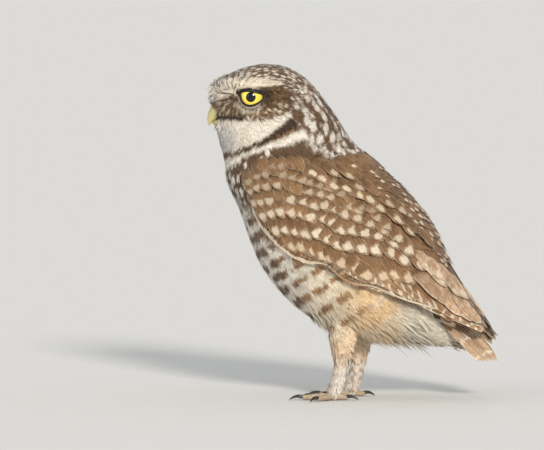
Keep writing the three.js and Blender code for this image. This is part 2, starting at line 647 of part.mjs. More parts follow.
for (const [name, hand] of Object.entries(hands)) {
  const whole = wingPlate(hand).subtract(tailGrown).subtract(curtain(COVERT_LINE));
  const parts = whole.decompose().sort((a, b) => b.boundingBox().max[2] - a.boundingBox().max[2]);
  const big = parts.filter((p) => p.volume() > 200);
  const over = greaterCoverts(hand, GAP);
  const coverts = join([big[0], ...covertVanes(hand), ...greaterCoverts(hand)]).subtract(tailGrown);
  const flight = join([big[big.length - 1], ...flightVanes(hand)]).subtract(join([tailGrown, ...over]));
  node(`wing_${name}_coverts`, coverts, COLOURS.coverts);
  node(`wing_${name}_flight`, flight, COLOURS.flight);
}

for (const [name, hand] of Object.entries(hands)) {
  const leg = legs[name], x = hand < 0 ? LEFT_FOOT : RIGHT_FOOT;
  const shank = (grow) => rope(leg.shank, SHANK_RADII, 10, 1, grow);
  node(`leg_${name}_thigh`, rope(leg.thigh, THIGH_RADII, 14).subtract(shank(GAP)), COLOURS.thigh);
  node(`leg_${name}_shank`, above(shank(0)), COLOURS.shank);
  const toes = foot(hand, x), middle = toes.find((toe) => toe.name === "middle");
  for (const toe of toes) {
    const beside = toe === middle ? [] : [middle.toe(GAP)];
    const cleared = toe.toe().subtract(join([shank(GAP), ...beside]));
    node(`toe_${name}_${toe.name}`, above(cleared), COLOURS.toe);
    node(`claw_${name}_${toe.name}`, above(toe.claw().subtract(toe.toe(GAP)), 0.1), COLOURS.claw, 0.3);
  }
}

// Meshes for all nodes, with the head turned and the origin at the middle of the footprint.
const group = new THREE.Group();
group.name = "burrowing_owl";
for (const [name, { made, colour, roughness }] of Object.entries(nodes)) {
  const mesh = made.getMesh(), points = [];
  for (let i = 0; i < mesh.numVert; i++) {
    const v = mesh.vertProperties.subarray(i * mesh.numProp, i * mesh.numProp + 3);
    points.push(...turned([v[0], v[1], v[2]]));
  }
  const geometry = new THREE.BufferGeometry();
  geometry.setAttribute("position", new THREE.Float32BufferAttribute(points, 3));
  geometry.setIndex([...mesh.triVerts]);
  const merged = mergeVertices(geometry, 1e-3);
  const material = new THREE.MeshStandardMaterial({ color: colour, roughness, metalness: 0 });
  const item = new THREE.Mesh(merged, material);
  item.name = name;
  group.add(item);
}
const box = new THREE.Box3().setFromObject(group);
group.position.set(-(box.min.x + box.max.x) / 2, -(box.min.y + box.max.y) / 2, -box.min.z);

export default group;
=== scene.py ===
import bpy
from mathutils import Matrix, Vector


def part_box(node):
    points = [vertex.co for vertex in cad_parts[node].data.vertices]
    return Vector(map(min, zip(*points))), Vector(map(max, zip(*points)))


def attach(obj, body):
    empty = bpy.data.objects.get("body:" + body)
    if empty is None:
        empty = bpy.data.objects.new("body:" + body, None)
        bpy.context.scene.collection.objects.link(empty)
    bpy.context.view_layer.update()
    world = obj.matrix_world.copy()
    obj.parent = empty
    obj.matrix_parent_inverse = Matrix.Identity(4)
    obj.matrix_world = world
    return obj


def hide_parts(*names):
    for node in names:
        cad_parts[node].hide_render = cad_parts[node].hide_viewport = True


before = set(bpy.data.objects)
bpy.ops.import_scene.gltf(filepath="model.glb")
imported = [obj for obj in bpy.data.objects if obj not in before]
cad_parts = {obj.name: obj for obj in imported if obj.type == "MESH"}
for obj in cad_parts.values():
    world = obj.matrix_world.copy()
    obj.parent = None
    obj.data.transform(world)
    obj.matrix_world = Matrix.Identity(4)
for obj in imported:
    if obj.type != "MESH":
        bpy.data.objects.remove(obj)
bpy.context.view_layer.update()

import math

import bpy
import numpy as np
from mathutils import Vector

# The side profile is laid out on a grid of GRID mm a step: gx grows to the tail, gy downwards.
GRID, GROUND, MIDDLE = 0.63, 399.0, 348.5
WIDE, TALL = 544, 450  # size of the picture, in the same steps
HEAD_TURN, TURN_LOW, TURN_HIGH, TURN_AXIS = 12.0, 147.0, 173.0, -45.0
LEFT_FOOT, RIGHT_FOOT, STANCE = -10.0, 1.0, 14.5
EYE_RADIUS, EYE_BULGE, EYE_FORWARD = 9.2, 0.7, 21.0
EYE_AT = (248.2, 95.8)
CAMERA_UP = math.radians(3.0)  # the camera looks from a little above, square to the left side
LOOK_Z = (GROUND - TALL / 2) * GRID
HANDS = {"left": -1, "right": 1}
THIGH_AHEAD = 6.0  # mm from the foot's place to the middle of the thigh's box

low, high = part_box("leg_left_thigh")
SHIFT = 500 * (low.x + high.x) - (LEFT_FOOT + THIGH_AHEAD)  # mm from the drawing's x to the frame's
rng = np.random.default_rng(11)

# Sections of head, neck and trunk, and of the outside of the folded wings, as in the solids:
# front and back end on the grid, half width in mm, then how blunt the front is (2: round) and
# where the section is widest, which are ROUND where they are left out.
ROUND = [2, 0.5]
TRUNK = [
    [261, 64.2, 263, 64.0, 0.6], [240, 69, 284, 66.5, 13, 1.8, 0.5],
    [215, 81, 303, 77, 22, 1.6, 0.55], [208.5, 93, 316, 90, 27, 1.45, 0.57],
    [210, 108, 327, 104, 29, 1.4, 0.56], [215, 126, 338, 119, 30, 1.6, 0.54],
    [220, 143, 349, 137, 29.5, 1.9, 0.52], [225, 160, 362, 151, 31.5],
    [228, 181, 381, 167, 37], [240, 208, 399, 185, 41.5],
    [250, 236, 414, 203, 43.5], [263, 266, 426, 224, 44],
    [286, 296, 436, 246, 42], [316, 320, 444, 266, 37],
    [350, 335, 450, 283, 30], [383, 339, 456, 295, 22],
    [412, 340, 461, 305, 16], [434, 345, 467, 320, 11],
    [455, 344, 462, 338, 1.5],
]
WRAP = [
    [225, 160, 363, 149, 32.5], [228, 181, 383, 170, 39.5],
    [240, 208, 403, 189, 45], [250, 236, 421, 210, 47.5],
    [263, 266, 433, 229, 48], [286, 296, 443, 249, 46],
    [316, 322, 453, 266, 41.5], [350, 338, 462, 282, 35.5],
    [383, 345, 469, 294, 29.5], [412, 347, 476, 304, 24.5],
    [440, 350, 485, 315, 19.5], [465, 352, 493, 326, 15],
    [484, 352, 499, 336, 11.5],
]
WING_EDGE = [
    [249, 188], [252, 202], [262, 222], [280, 243], [300, 257], [322, 263], [345, 279],
    [370, 286], [400, 298], [430, 308], [455, 320], [480, 334],
]


def side(gx, gy):
    return (gx - MIDDLE) * GRID, (GROUND - gy) * GRID


def grid_of(p):
    return p[..., 0] / GRID + MIDDLE, GROUND - p[..., 2] / GRID


def tail_line(gx):
    """Height in the picture of the tail's lower edge."""
    return 312 + 0.9 * (gx - 430)


def neck_level(gx, gy):
    """Height in the picture along the foot of the neck, which falls a little to the back."""
    return gy - 0.12 * (gx - 225)


def unit(v):
    return v / np.maximum(np.linalg.norm(v, axis=-1, keepdims=True), 1e-9)


def ramp(x, a, b):
    t = np.clip((x - a) / (b - a), 0, 1)
    return t * t * (3 - 2 * t)


def turn_at(z):
    """Cosine and sine of the head's turn at heights z."""
    t = ramp(z, TURN_LOW, TURN_HIGH) * math.radians(HEAD_TURN)
    return np.cos(t), np.sin(t)


def turned(p):
    """Points taken round with the turn of the head."""
    x, (c, s) = p[..., 0] - TURN_AXIS, turn_at(p[..., 2])
    return np.stack([TURN_AXIS + x * c - p[..., 1] * s, x * s + p[..., 1] * c, p[..., 2]], -1)


def spun(p, v):
    """Directions v at points p taken round with the turn of the head."""
    c, s = turn_at(p[..., 2])
    return np.stack([v[..., 0] * c - v[..., 1] * s, v[..., 0] * s + v[..., 1] * c, v[..., 2]], -1)


def unturned(q):
    """Points taken back from the turn of the head."""
    x, (c, s) = q[..., 0] - TURN_AXIS, turn_at(q[..., 2])
    return np.stack([TURN_AXIS + x * c + q[..., 1] * s, -x * s + q[..., 1] * c, q[..., 2]], -1)


def seen(p):
    """Where points stand in the picture, those of the right side mirrored to the left."""
    q = np.array(p, float)
    q[..., 1] = -np.abs(q[..., 1])
    q = turned(q)
    up = (q[..., 2] - LOOK_Z) * math.cos(CAMERA_UP) + q[..., 1] * math.sin(CAMERA_UP)
    return q[..., 0] / GRID + MIDDLE, TALL / 2 - up / GRID


def find_seen(form, gx, gy):
    """Section and angle of the left side's places that stand at gx, gy in the picture."""
    tx, ty = np.asarray(gx, float), np.asarray(gy, float)
    x, y = tx.copy(), ty.copy()
    for _ in range(5):
        u, a = form.find(x, y)
        sx, sy = seen(form.at(u, a, -1))
        x, y = x + 0.9 * (tx - sx), y + 0.9 * (ty - sy)
    return u, a


def placed(p):
    """From the drawing's mm to the frame's metres."""
    return (turned(np.asarray(p, float)) + (SHIFT, 0, 0)) / 1000


def wobble(p, scale, seed=0.0):
    """Smooth noise of about -1 to 1 at points p, its bumps about scale mm apart."""
    q = np.asarray(p, float) * (2 * math.pi / (scale * 2.2))
    x, y, z = q[..., 0], q[..., 1], q[..., 2]
    a = np.sin(x + 1.7 * np.sin(y * 0.9 + seed) + seed * 1.3)
    b = np.sin(y * 1.1 + 1.3 * np.sin(z * 1.2 + seed * 2.1) + 2.0)
    c = np.sin(z * 0.93 + 1.5 * np.sin(x * 1.05 + seed * 0.7) + 4.0)
    d = np.sin((x + y + z) * 1.9 + seed * 3.1)
    return (a + b + c + 0.6 * d) / 2.6


def smooth_rows(rows, u):
    """Rows read at u between them, along smooth curves through them."""
    u = np.clip(np.asarray(u, float), 0, len(rows) - 1)
    i = np.clip(np.floor(u).astype(int), 0, len(rows) - 2)
    t = (u - i)[..., None]
    a, b = rows[np.maximum(i - 1, 0)], rows[i]
    c, d = rows[i + 1], rows[np.minimum(i + 2, len(rows) - 1)]
    m, n, t2, t3 = (c - a) / 2, (d - b) / 2, t * t, t ** 3
    return ((2 * t3 - 3 * t2 + 1) * b + (t3 - 2 * t2 + t) * m
            + (3 * t2 - 2 * t3) * c + (t3 - t2) * n)


def outward(place, middle, u, a):
    """Unit normals of the surface place(u, a), facing away from middle(u)."""
    du, da = 0.03, 0.02
    n = unit(np.cross(place(u + du, a) - place(u - du, a), place(u, a + da) - place(u, a - da)))
    return np.where(np.sum(n * (place(u, a) - middle(u)), -1, keepdims=True) < 0, -n, n)


AROUND = [(i, j, k) for i in (-1, 0, 1) for j in (-1, 0, 1) for k in (-1, 0, 1)]


def ring_grid(form, rings, around):
    """Sections along a form, and angles round it."""
    return np.linspace(0, form.last, rings)[:, None], (np.arange(around) * 2 * np.pi / around)[None]


class Surface:
    """A surface with a place for each u and a; at() gives points, normal() what faces out."""

    def normal(self, u, a, hand):
        return outward(lambda u, a: self.at(u, a, hand), self.middle, u, a)

    def axes(self, u, a, hand):
        du, da = 0.02, 0.01
        return ((self.at(u + du, a, hand) - self.at(u - du, a, hand)) / (2 * du),
                (self.at(u, a + da, hand) - self.at(u, a - da, hand)) / (2 * da))

    def scatter(self, spacing, u0, u1, a0, a1, hand, keep=None):
        """Places about spacing mm apart, a number or one for points, over part of the surface."""
        nu, na, tries, packed = 160, 90, 5, 0.62
        gap_at = spacing if callable(spacing) else lambda p: np.full(p.shape[:-1], float(spacing))
        uu = u0 + (np.arange(nu) + 0.5) / nu * (u1 - u0)
        aa = a0 + (np.arange(na) + 0.5) / na * (a1 - a0)
        gu, ga = [g.ravel() for g in np.meshgrid(uu, aa, indexing="ij")]
        eu, ea = self.axes(gu, ga, hand)
        area = np.linalg.norm(np.cross(eu, ea), axis=-1) * (u1 - u0) / nu * (a1 - a0) / na
        grid = self.at(gu, ga, hand)
        share = area / gap_at(grid) ** 2
        if keep is not None:
            share = share * keep(grid)
        total = int(share.sum() * tries)
        pick = rng.choice(len(share), total, p=share / share.sum())
        u = gu[pick] + (rng.random(total) - 0.5) * (u1 - u0) / nu
        a = ga[pick] + (rng.random(total) - 0.5) * (a1 - a0) / na
        p, kept, cells = self.at(u, a, hand), [], {}
        gap = gap_at(p)
        keys = np.floor(p / float(gap.max())).astype(int).tolist()
        points, reach = p.tolist(), (gap ** 2 * packed).tolist()
        for n, (i, j, k) in enumerate(keys):
            x, y, z = points[n]
            near = (q for di, dj, dk in AROUND for q in cells.get((i + di, j + dj, k + dk), ()))
            if all((q[0] - x) ** 2 + (q[1] - y) ** 2 + (q[2] - z) ** 2 >= reach[n] for q in near):
                kept.append(n)
                cells.setdefault((i, j, k), []).append(points[n])
        return u[kept], a[kept]


def near_line(gx, gy, line):
    """Distance of grid points from a line of points, in grid steps."""
    pts = np.array(line, float)
    best = np.full(np.shape(gx), 1e9)
    for (ax, ay), (bx, by) in zip(pts[:-1], pts[1:]):
        dx, dy = bx - ax, by - ay
        t = np.clip(((gx - ax) * dx + (gy - ay) * dy) / (dx * dx + dy * dy), 0, 1)
        best = np.minimum(best, np.hypot(gx - ax - t * dx, gy - ay - t * dy))
    return best


def inside(gx, gy, shape, soft=2.0):
    """1 inside a closed shape of grid points, 0 outside, over a soft edge."""
    pts = np.array(list(shape) + [shape[0]], float)
    odd = np.zeros(np.shape(gx), bool)
    for (ax, ay), (bx, by) in zip(pts[:-1], pts[1:]):
        hit = (ay > gy) != (by > gy)
        odd ^= hit & (gx < (bx - ax) * (gy - ay) / (by - ay + 1e-12) + ax)
    d = near_line(gx, gy, pts)
    return ramp(np.where(odd, d, -d), -soft, soft)


BROW_LINE = [[211, 90], [224, 86.5], [240, 87], [256, 88.5], [272, 90.5], [286, 94]]
DISC_LINE = [[289, 94], [294, 105], [291, 118], [280, 130], [263, 139]]


def relief(p):
    """Height in mm of the face's own forms over its smooth sections."""
    gx, gy = seen(p)
    out = 1.9 * np.exp(-(near_line(gx, gy, BROW_LINE) / 4.2) ** 2)
    out += 1.1 * np.exp(-(near_line(gx, gy, DISC_LINE) / 5.0) ** 2)
    out -= 0.9 * np.exp(-(((gx - 236) / 9) ** 2 + ((gy - 103) / 7) ** 2))
    out += 0.9 * np.exp(-(near_line(gx, gy, [[240, 112], [256, 114], [268, 109]]) / 4) ** 2)
    out += 1.2 * np.exp(-(((gx - 250) / 22) ** 2 + ((gy - 132) / 9) ** 2))
    out *= ramp(gy, 60, 84) * (1 - ramp(gy, 138, 150)) * ramp(np.abs(p[..., 1]), 3, 12)
    # The face is hollowed round the base of the bill.
    bill = np.exp(-((gx - 211) / 5.5) ** 2 - ((gy - 113) / 7.5) ** 2)
    return out - 2.6 * bill * (1 - ramp(np.abs(p[..., 1]), 6, 13))


class Form(Surface):
    """A body of sections across its length, each given by its ends in profile and its width."""

    def __init__(self, rows, raised=None):
        r = np.array([row if len(row) > 5 else row + ROUND for row in rows], float)
        self.rows = np.column_stack([*side(r[:, 0], r[:, 1]), *side(r[:, 2], r[:, 3]), r[:, 4:]])
        self.last, self.raised = len(rows) - 1, raised

    def middle(self, u):
        r = smooth_rows(self.rows, u)
        f, b, m = r[..., 0:2], r[..., 2:4], r[..., 6:7]
        c = f + (b - f) * m
        return np.stack([c[..., 0], np.zeros(c.shape[:-1]), c[..., 1]], -1)

    def plain(self, u, a, hand):
        r = smooth_rows(self.rows, u)
        fx, fz, bx, bz, w, n, m = np.moveaxis(r, -1, 0)
        length = np.maximum(np.hypot(fx - bx, fz - bz), 1e-6)
        ex, ez = (fx - bx) / length, (fz - bz) / length
        c, s = np.cos(a), np.abs(np.sin(a))
        k = np.where(c > 0, 2 / n, 1)
        p = np.where(c > 0, np.abs(c) ** k * length * m, c * length * (1 - m))
        q = s ** k * w
        cx, cz = fx + (bx - fx) * m, fz + (bz - fz) * m
        y = np.where(np.sin(a) < 0, -1, 1) * hand * q
        return np.stack([cx + ex * p, y, cz + ez * p], -1)

    def at(self, u, a, hand, lift=0.0):
        u, a = np.broadcast_arrays(np.asarray(u, float), np.asarray(a, float))
        p = self.plain(u, a, hand)
        if self.raised is None and np.ndim(lift) == 0 and lift == 0:
            return p
        n = outward(lambda u, a: self.plain(u, a, hand), self.middle, u, a)
        more = np.asarray(lift, float) + (0 if self.raised is None else self.raised(p))
        return p + n * np.broadcast_to(more, p.shape[:-1])[..., None]

    def find(self, gx, gy):
        """Section and angle of the points seen at gx, gy in profile."""
        x, z = side(np.asarray(gx, float), np.asarray(gy, float))
        us = np.linspace(0, self.last, 40 * self.last + 1)
        r = smooth_rows(self.rows, us)
        off = ((r[:, 2] - r[:, 0])[None] * (z[..., None] - r[:, 1])
               - (r[:, 3] - r[:, 1])[None] * (x[..., None] - r[:, 0]))
        turn = off[..., :-1] * off[..., 1:] <= 0
        i = np.where(turn.any(-1), turn.argmax(-1), np.abs(off[..., :-1]).argmin(-1))
        o0 = np.take_along_axis(off, i[..., None], -1)[..., 0]
        o1 = np.take_along_axis(off, i[..., None] + 1, -1)[..., 0]
        t = np.clip(np.where(np.abs(o0 - o1) > 1e-9, o0 / (o0 - o1 + 1e-12), 0), 0, 1)
        u = us[i] + t * (us[1] - us[0])
        fx, fz, bx, bz, _, n, m = np.moveaxis(smooth_rows(self.rows, u), -1, 0)
        f = ((x - fx) * (bx - fx) + (z - fz) * (bz - fz)) / ((bx - fx) ** 2 + (bz - fz) ** 2)
        f = np.clip(f, 0.0005, 0.9995)
        front = np.arccos(np.clip((m - f) / m, 0, 1) ** (n / 2))
        return u, np.where(f < m, front, np.pi - np.arccos(np.clip((f - m) / (1 - m), 0, 1)))


class Limb(Surface):
    """A round limb through points, with a radius at each, u along it and a around it."""

    def __init__(self, path, radii, flat=1.0):
        self.rows = np.column_stack([np.array(path, float), np.array(radii, float)])
        self.last, self.flat = len(path) - 1, flat

    def middle(self, u):
        return smooth_rows(self.rows, u)[..., :3]

    def at(self, u, a, hand, lift=0.0):
        u, a = np.broadcast_arrays(np.asarray(u, float), np.asarray(a, float))
        r = smooth_rows(self.rows, u)
        lo = smooth_rows(self.rows, np.clip(u, 0, self.last) - 0.05)
        hi = smooth_rows(self.rows, np.clip(u, 0, self.last) + 0.05)
        along = unit(hi[..., :3] - lo[..., :3])
        over = np.where(np.abs(along[..., 2:3]) > 0.9, [1.0, 0, 0], [0, 0, 1.0])
        s = unit(np.cross(along, over))
        n = np.cross(s, along)
        rad = (r[..., 3] + lift)[..., None]
        return r[..., :3] + rad * (s * np.cos(a)[..., None] + self.flat * n * np.sin(a)[..., None])


trunk = Form(TRUNK, relief)
wrap = Form(WRAP)


# Meshes
def make_piece(name, verts, faces, material, slot, colours=None, uvs=None, replaces=(), ready=False,
               normals=None, under=None, below=None):
    """A mesh object in metres from points and faces, its colour layers and its maps."""
    if normals is not None:
        normals, under = spun(verts, normals), spun(verts, under)
    verts = np.ascontiguousarray(verts if ready else placed(verts), dtype=np.float32)
    verts[:, 2] = np.maximum(verts[:, 2], 0.00005)
    faces = np.asarray(faces, np.int32)
    mesh = bpy.data.meshes.new(name)
    k = faces.shape[1]
    mesh.vertices.add(len(verts))
    mesh.vertices.foreach_set("co", verts.ravel())
    mesh.loops.add(faces.size)
    mesh.loops.foreach_set("vertex_index", faces.ravel())
    mesh.polygons.add(len(faces))
    mesh.polygons.foreach_set("loop_start", np.arange(0, faces.size, k, dtype=np.int32))
    mesh.polygons.foreach_set("use_smooth", np.ones(len(faces), bool))
    for key, uv in (uvs or {}).items():
        layer = mesh.uv_layers.new(name=key)
        layer.data.foreach_set("uv", np.asarray(uv, np.float32)[faces.ravel()].ravel())
    for key, value in (colours or {}).items():
        value = np.asarray(value, np.float32)
        if value.shape[1] == 3:
            value = np.column_stack([value, np.ones(len(value), np.float32)])
        layer = mesh.attributes.new(key, "FLOAT_COLOR", "POINT")
        layer.data.foreach_set("color", value.ravel())
    mesh.update(calc_edges=True)
    if normals is not None:
        flat = faces.ravel()
        mesh.normals_split_custom_set(np.where(below.repeat(k)[:, None], under[flat], normals[flat]))
    else:
        mesh.validate()
    ob = bpy.data.objects.new(name, mesh)
    bpy.context.scene.collection.objects.link(ob)
    ob.data.materials.append(material)
    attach(ob, "root")
    if replaces:
        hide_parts(*replaces)
    return ob


def lathe_grid(points, closed_ends=True):
    """Faces of a tube of rings, points (rings, around, 3), closed by a point at each end."""
    rings, n = points.shape[:2]
    idx = np.arange(rings * n).reshape(rings, n)
    nxt = np.roll(idx, -1, 1)
    quads = np.stack([idx[:-1], nxt[:-1], nxt[1:], idx[1:]], -1).reshape(-1, 4)
    verts = points.reshape(-1, 3)
    if not closed_ends:
        return verts, quads
    a, b = len(verts), len(verts) + 1
    verts = np.vstack([verts, points[0].mean(0), points[-1].mean(0)])
    first = np.column_stack([np.full(n, a), nxt[0], idx[0], idx[0]])
    last = np.column_stack([np.full(n, b), idx[-1], nxt[-1], nxt[-1]])
    return verts, np.vstack([quads, first, last])


def vane_topology(rows, cols):
    """Faces of a thin closed vane: a top grid, and a bottom one that shares its rim."""
    top = np.arange(rows * cols).reshape(rows, cols)
    bottom = top.copy()
    inner = (rows - 2) * (cols - 2)
    bottom[1:-1, 1:-1] = rows * cols + np.arange(inner).reshape(rows - 2, cols - 2)

    def quads(g, flip):
        q = np.stack([g[:-1, :-1], g[:-1, 1:], g[1:, 1:], g[1:, :-1]], -1).reshape(-1, 4)
        return q[:, ::-1] if flip else q

    return np.vstack([quads(top, True), quads(bottom, False)]), rows * cols + inner


NEAR_CELLS = sorted(((i, j) for i in range(-12, 13) for j in range(-12, 13)),
                    key=lambda o: o[0] ** 2 + o[1] ** 2)


def space_out(patches):
    """Moves each feather's patch of the bake map to the nearest free cell of a grid."""
    corner = patches.min(1)
    cell = np.ptp(patches, axis=1).max() * 1.001
    last = int(1 / cell) - 1
    taken = set()
    for k, (i, j) in enumerate(np.round(corner / cell).astype(int).tolist()):
        for a, b in NEAR_CELLS:
            spot = (i + a, j + b)
            if min(spot) >= 0 and max(spot) <= last and spot not in taken:
                break
        taken.add(spot)
        patches[k] += np.array(spot) * cell - corner[k]


def vane_axes(line, over, tilt=0.0):
    """Across and out of feathers along lines whose upper side faces over, then tilted."""
    along = unit(np.gradient(line, axis=1))
    across = unit(np.cross(over, along) + np.multiply(over, tilt))
    return across, unit(np.cross(along, across))


def varied(base, share, n):
    return base * (1 + share * rng.normal(size=n)).clip(0.5, 1.6)


def root_place(form, u, a, hand):
    """Where feathers rooted at u, a of a form stand on the bake map."""
    return np.stack([np.clip(u / form.last, 0, 1), np.mod(hand * a / (2 * np.pi), 1)], -1)


def kind_of(root, spot=0.0, bars=0.0):
    """What the kind layer holds: the spot, the bars, and how dark the root is."""
    return np.array([spot, bars, 0, root])


class Plumes:
    """Feathers gathered from many places, made into one mesh."""

    def __init__(self, rows, cols):
        self.rows, self.cols = rows, cols
        self.faces, self.size = vane_topology(rows, cols)
        self.parts = []

    def add(self, line, across, out, width, thick, tint, mark, kind, root_uv, patch=0.003,
            shape=None, jag=0.12, cup=0.12, point=0.45, base=None, soft=0.0,
            mirror=False):
        """line (n, rows, 3) centre points, across and out (n, rows, 3), width (n,) half widths.

        patch is the width of a feather's part of the bake map; base and soft turn the normals
        from the vane's own towards the coat's."""
        n, rows, cols = len(line), self.rows, self.cols
        s = np.linspace(0, 1, rows)
        c = np.linspace(-1, 1, cols)
        shape = np.asarray(shape if shape is not None else np.sin(np.pi * (0.14 + 0.62 * s)) ** 0.7)
        if shape.ndim == 1:
            shape = np.broadcast_to(shape, (n, rows))
        # The tip is drawn back at its sides, and its edge is uneven.
        back = point * c ** 2 + jag * np.abs(rng.normal(size=(n, cols))) * (np.abs(c) > 0.01)
        step = line[:, -1] - line[:, -2]
        reach = np.linalg.norm(line[:, -1] - line[:, 0], axis=-1)
        fade = np.clip((s - 0.45) / 0.55, 0, 1) ** 1.5
        w = shape * width[:, None]
        pts = (line[:, :, None] + across[:, :, None] * (w[:, :, None] * c)[..., None]
               - out[:, :, None] * (cup * w[:, :, None] * c ** 2)[..., None])
        pull = back[:, None, :] * fade[None, :, None] * np.minimum(reach, 2.6 * width)[:, None, None]
        pts = pts - unit(step)[:, None, None] * pull[..., None]
        low = pts[:, 1:-1, 1:-1] - out[:, 1:-1, None] * thick
        verts = np.concatenate([pts.reshape(n, -1, 3), low.reshape(n, -1, 3)], 1)
        face = unit(np.cross(np.gradient(pts, axis=2), np.gradient(pts, axis=1)))
        face *= np.where(np.sum(face * out[:, :, None], -1, keepdims=True) < 0, -1, 1)
        if base is not None:
            face = unit(face * (1 - soft) + base[:, None, None] * soft)
        under = unit(0.8 * unit(np.gradient(line, axis=1))[:, :, None] - face)
        stack = lambda v: np.concatenate([v.reshape(n, -1, 3), v[:, 1:-1, 1:-1].reshape(n, -1, 3)], 1)
        uv = np.stack(np.meshgrid((1 - c if mirror else 1 + c) / 2, s), -1)
        uv = np.vstack([uv.reshape(-1, 2), uv[1:-1, 1:-1].reshape(-1, 2)])
        bake = root_uv[:, None] * (1 - patch) + uv[None] * patch
        per = lambda v: self._spread(v, n)
        self.parts.append((verts, np.broadcast_to(uv, (n, *uv.shape)), bake, per(tint), per(mark),
                           per(kind), stack(face), stack(under)))

    def _spread(self, v, n):
        v = np.asarray(v, float)
        if v.ndim == 1:
            v = np.broadcast_to(v, (n, len(v)))
        if v.ndim == 2:
            v = np.broadcast_to(v[:, None], (n, self.size, v.shape[1]))
        if v.shape[1] == self.rows * self.cols:
            g = v.reshape(n, self.rows, self.cols, -1)
            v = np.concatenate([v, g[:, 1:-1, 1:-1].reshape(n, -1, v.shape[-1])], 1)
        return v

    def build(self, name, material, slot):
        cat = [np.concatenate([p[i] for p in self.parts]) for i in range(8)]
        space_out(cat[2])
        n = len(cat[0])
        faces = (self.faces[None] + (np.arange(n) * self.size)[:, None, None]).reshape(-1, 4)
        flat = [c.reshape(n * self.size, -1) for c in cat]
        below = np.arange(len(self.faces)) >= (self.rows - 1) * (self.cols - 1)
        return make_piece(name, flat[0], faces, material, slot,
                          {"tint": flat[3], "mark": flat[4], "kind": flat[5]},
                          {"vane": flat[1], "OFBake": flat[2]}, normals=flat[6],
                          under=flat[7], below=np.tile(below, n))


def lay(plumes, form, u, a, hand, flow, length, width, lift, paint, rise=0.0, thick=0.12, **more):
    """Feathers rooted at u, a on a form, lying along flow and following its curve.

    length, width and lift are each an array, or a size and the share by which it varies."""
    rows = plumes.rows
    length, width, lift = [varied(*v, len(u)) if isinstance(v, tuple) else v for v in (length, width, lift)]
    p, n = form.at(u, a, hand), form.normal(u, a, hand)
    d = flow(p, n)
    d = unit(d - n * np.sum(d * n, -1, keepdims=True))
    eu, ea = form.axes(u, a, hand)
    uu, aa, ua = np.sum(eu * eu, -1), np.sum(ea * ea, -1), np.sum(eu * ea, -1)
    du, da = np.sum(eu * d, -1), np.sum(ea * d, -1)
    det = np.maximum(uu * aa - ua * ua, 1e-6)
    su, sa = (du * aa - da * ua) / det, (da * uu - du * ua) / det
    far = form.at(np.clip(u + su * length, 0, form.last), a + sa * length, hand)
    drop = np.clip(np.sum((far - p) * n, -1), -0.45 * length, 0.12 * length)
    s = np.linspace(0, 1, rows)
    rise = rise(p, n)[:, None] if callable(rise) else rise
    up = lift[:, None] * (0.35 + 0.65 * s) + rise * length[:, None] * s ** 2
    line = (p[:, None] + d[:, None] * (length[:, None] * s)[..., None]
            + n[:, None] * (drop[:, None] * s ** 2 + up - 0.5 * (1 - s))[..., None])
    across, out = vane_axes(line, n[:, None])
    tint, mark, kind = paint(p, line, across, width, rows, plumes.cols)
    plumes.add(line, across, out, width, thick, tint, mark, kind, root_place(form, u, a, hand),
               base=n, mirror=hand > 0, **more)


# Colours
def rgb(r, g, b):
    c = np.array([r, g, b]) / 255
    return np.where(c <= 0.04045, c / 12.92, ((c + 0.055) / 1.055) ** 2.4)


WHITE, CREAM, BUFF = rgb(234, 228, 217), rgb(230, 217, 194), rgb(228, 192, 143)
BROWN, DARK, UMBER = rgb(140, 108, 76), rgb(62, 45, 32), rgb(100, 76, 53)
TAN, RUST = rgb(198, 160, 122), rgb(168, 116, 68)
SPOT, WARM_SPOT, BAR = rgb(206, 192, 170), rgb(214, 194, 164), rgb(160, 122, 80)

# Marks of the plumage, as outlines in the picture's pixels.
THROAT = [[302, 130], [290, 135.5], [270, 143], [255, 149], [240, 154.5], [216, 161], [216, 176],
          [226, 171], [231, 166], [240, 160.5], [250, 155.5], [265, 150], [280, 148], [290, 145], [308, 139]]
CHEEK = [[212, 128], [222, 121], [240, 120.5], [262, 121.5], [276, 118], [291, 111], [292, 118],
         [281, 128], [270, 135], [262, 140], [250, 146], [238, 150], [212, 153]]
COLLAR = [[290, 117], [298, 124], [296, 131], [283, 137], [270, 141.5], [255, 147.5], [240, 152.5],
          [214, 160], [214, 154], [238, 149], [250, 145], [262, 139], [270, 134.5], [280, 127.5]]
BROW = [[200, 99], [202, 88], [212, 81], [226, 79.5], [245, 78.5], [262, 79.5], [282, 82.5], [284, 85],
        [270, 86.8], [257, 88.3], [240, 90.6], [234, 94], [222, 99], [208, 102]]
EARS = [[264, 95], [268, 91], [282, 88], [290, 93], [292, 106], [285, 112], [268, 118.5],
        [250, 119], [252, 112], [262, 106]]
LORES = [[200, 100], [222, 98], [236, 93.5], [240, 104], [246, 119], [216, 120.5], [204, 124]]
SIDE_NECK = [[294, 104], [312, 100], [332, 122], [342, 146], [316, 150], [302, 132], [294, 114]]
NAPE = [[284, 84], [300, 76], [330, 92], [352, 128], [368, 156], [344, 164], [312, 150], [296, 126],
        [288, 104]]
CROWN = [[195, 120], [195, 55], [300, 55], [322, 92], [294, 100], [286, 84], [210, 84]]
CHEEK_RIM = [[246, 112], [262, 112], [284, 104], [291, 106], [290, 113], [270, 120], [246, 121]]
EYE_CORNERS = [[[236.5, 92.4], [242, 94]], [[262.5, 96], [268.5, 97.2]], [[261.5, 92], [267, 94.5]]]
MOUTH = [[212, 117.4], [220, 117.6], [229, 117.6], [236, 118.4], [242, 119.8]]
LIDS_SEEN = [[241.3, 93.9], [244, 93.0], [248, 92.9], [254, 93.7], [263.4, 96.3], [262.4, 99.6],
             [258.4, 103], [252.3, 105.6], [247, 105.3], [243.2, 102.2], [241.4, 98.0]]
LID_LOOP = LIDS_SEEN + LIDS_SEEN[:1]
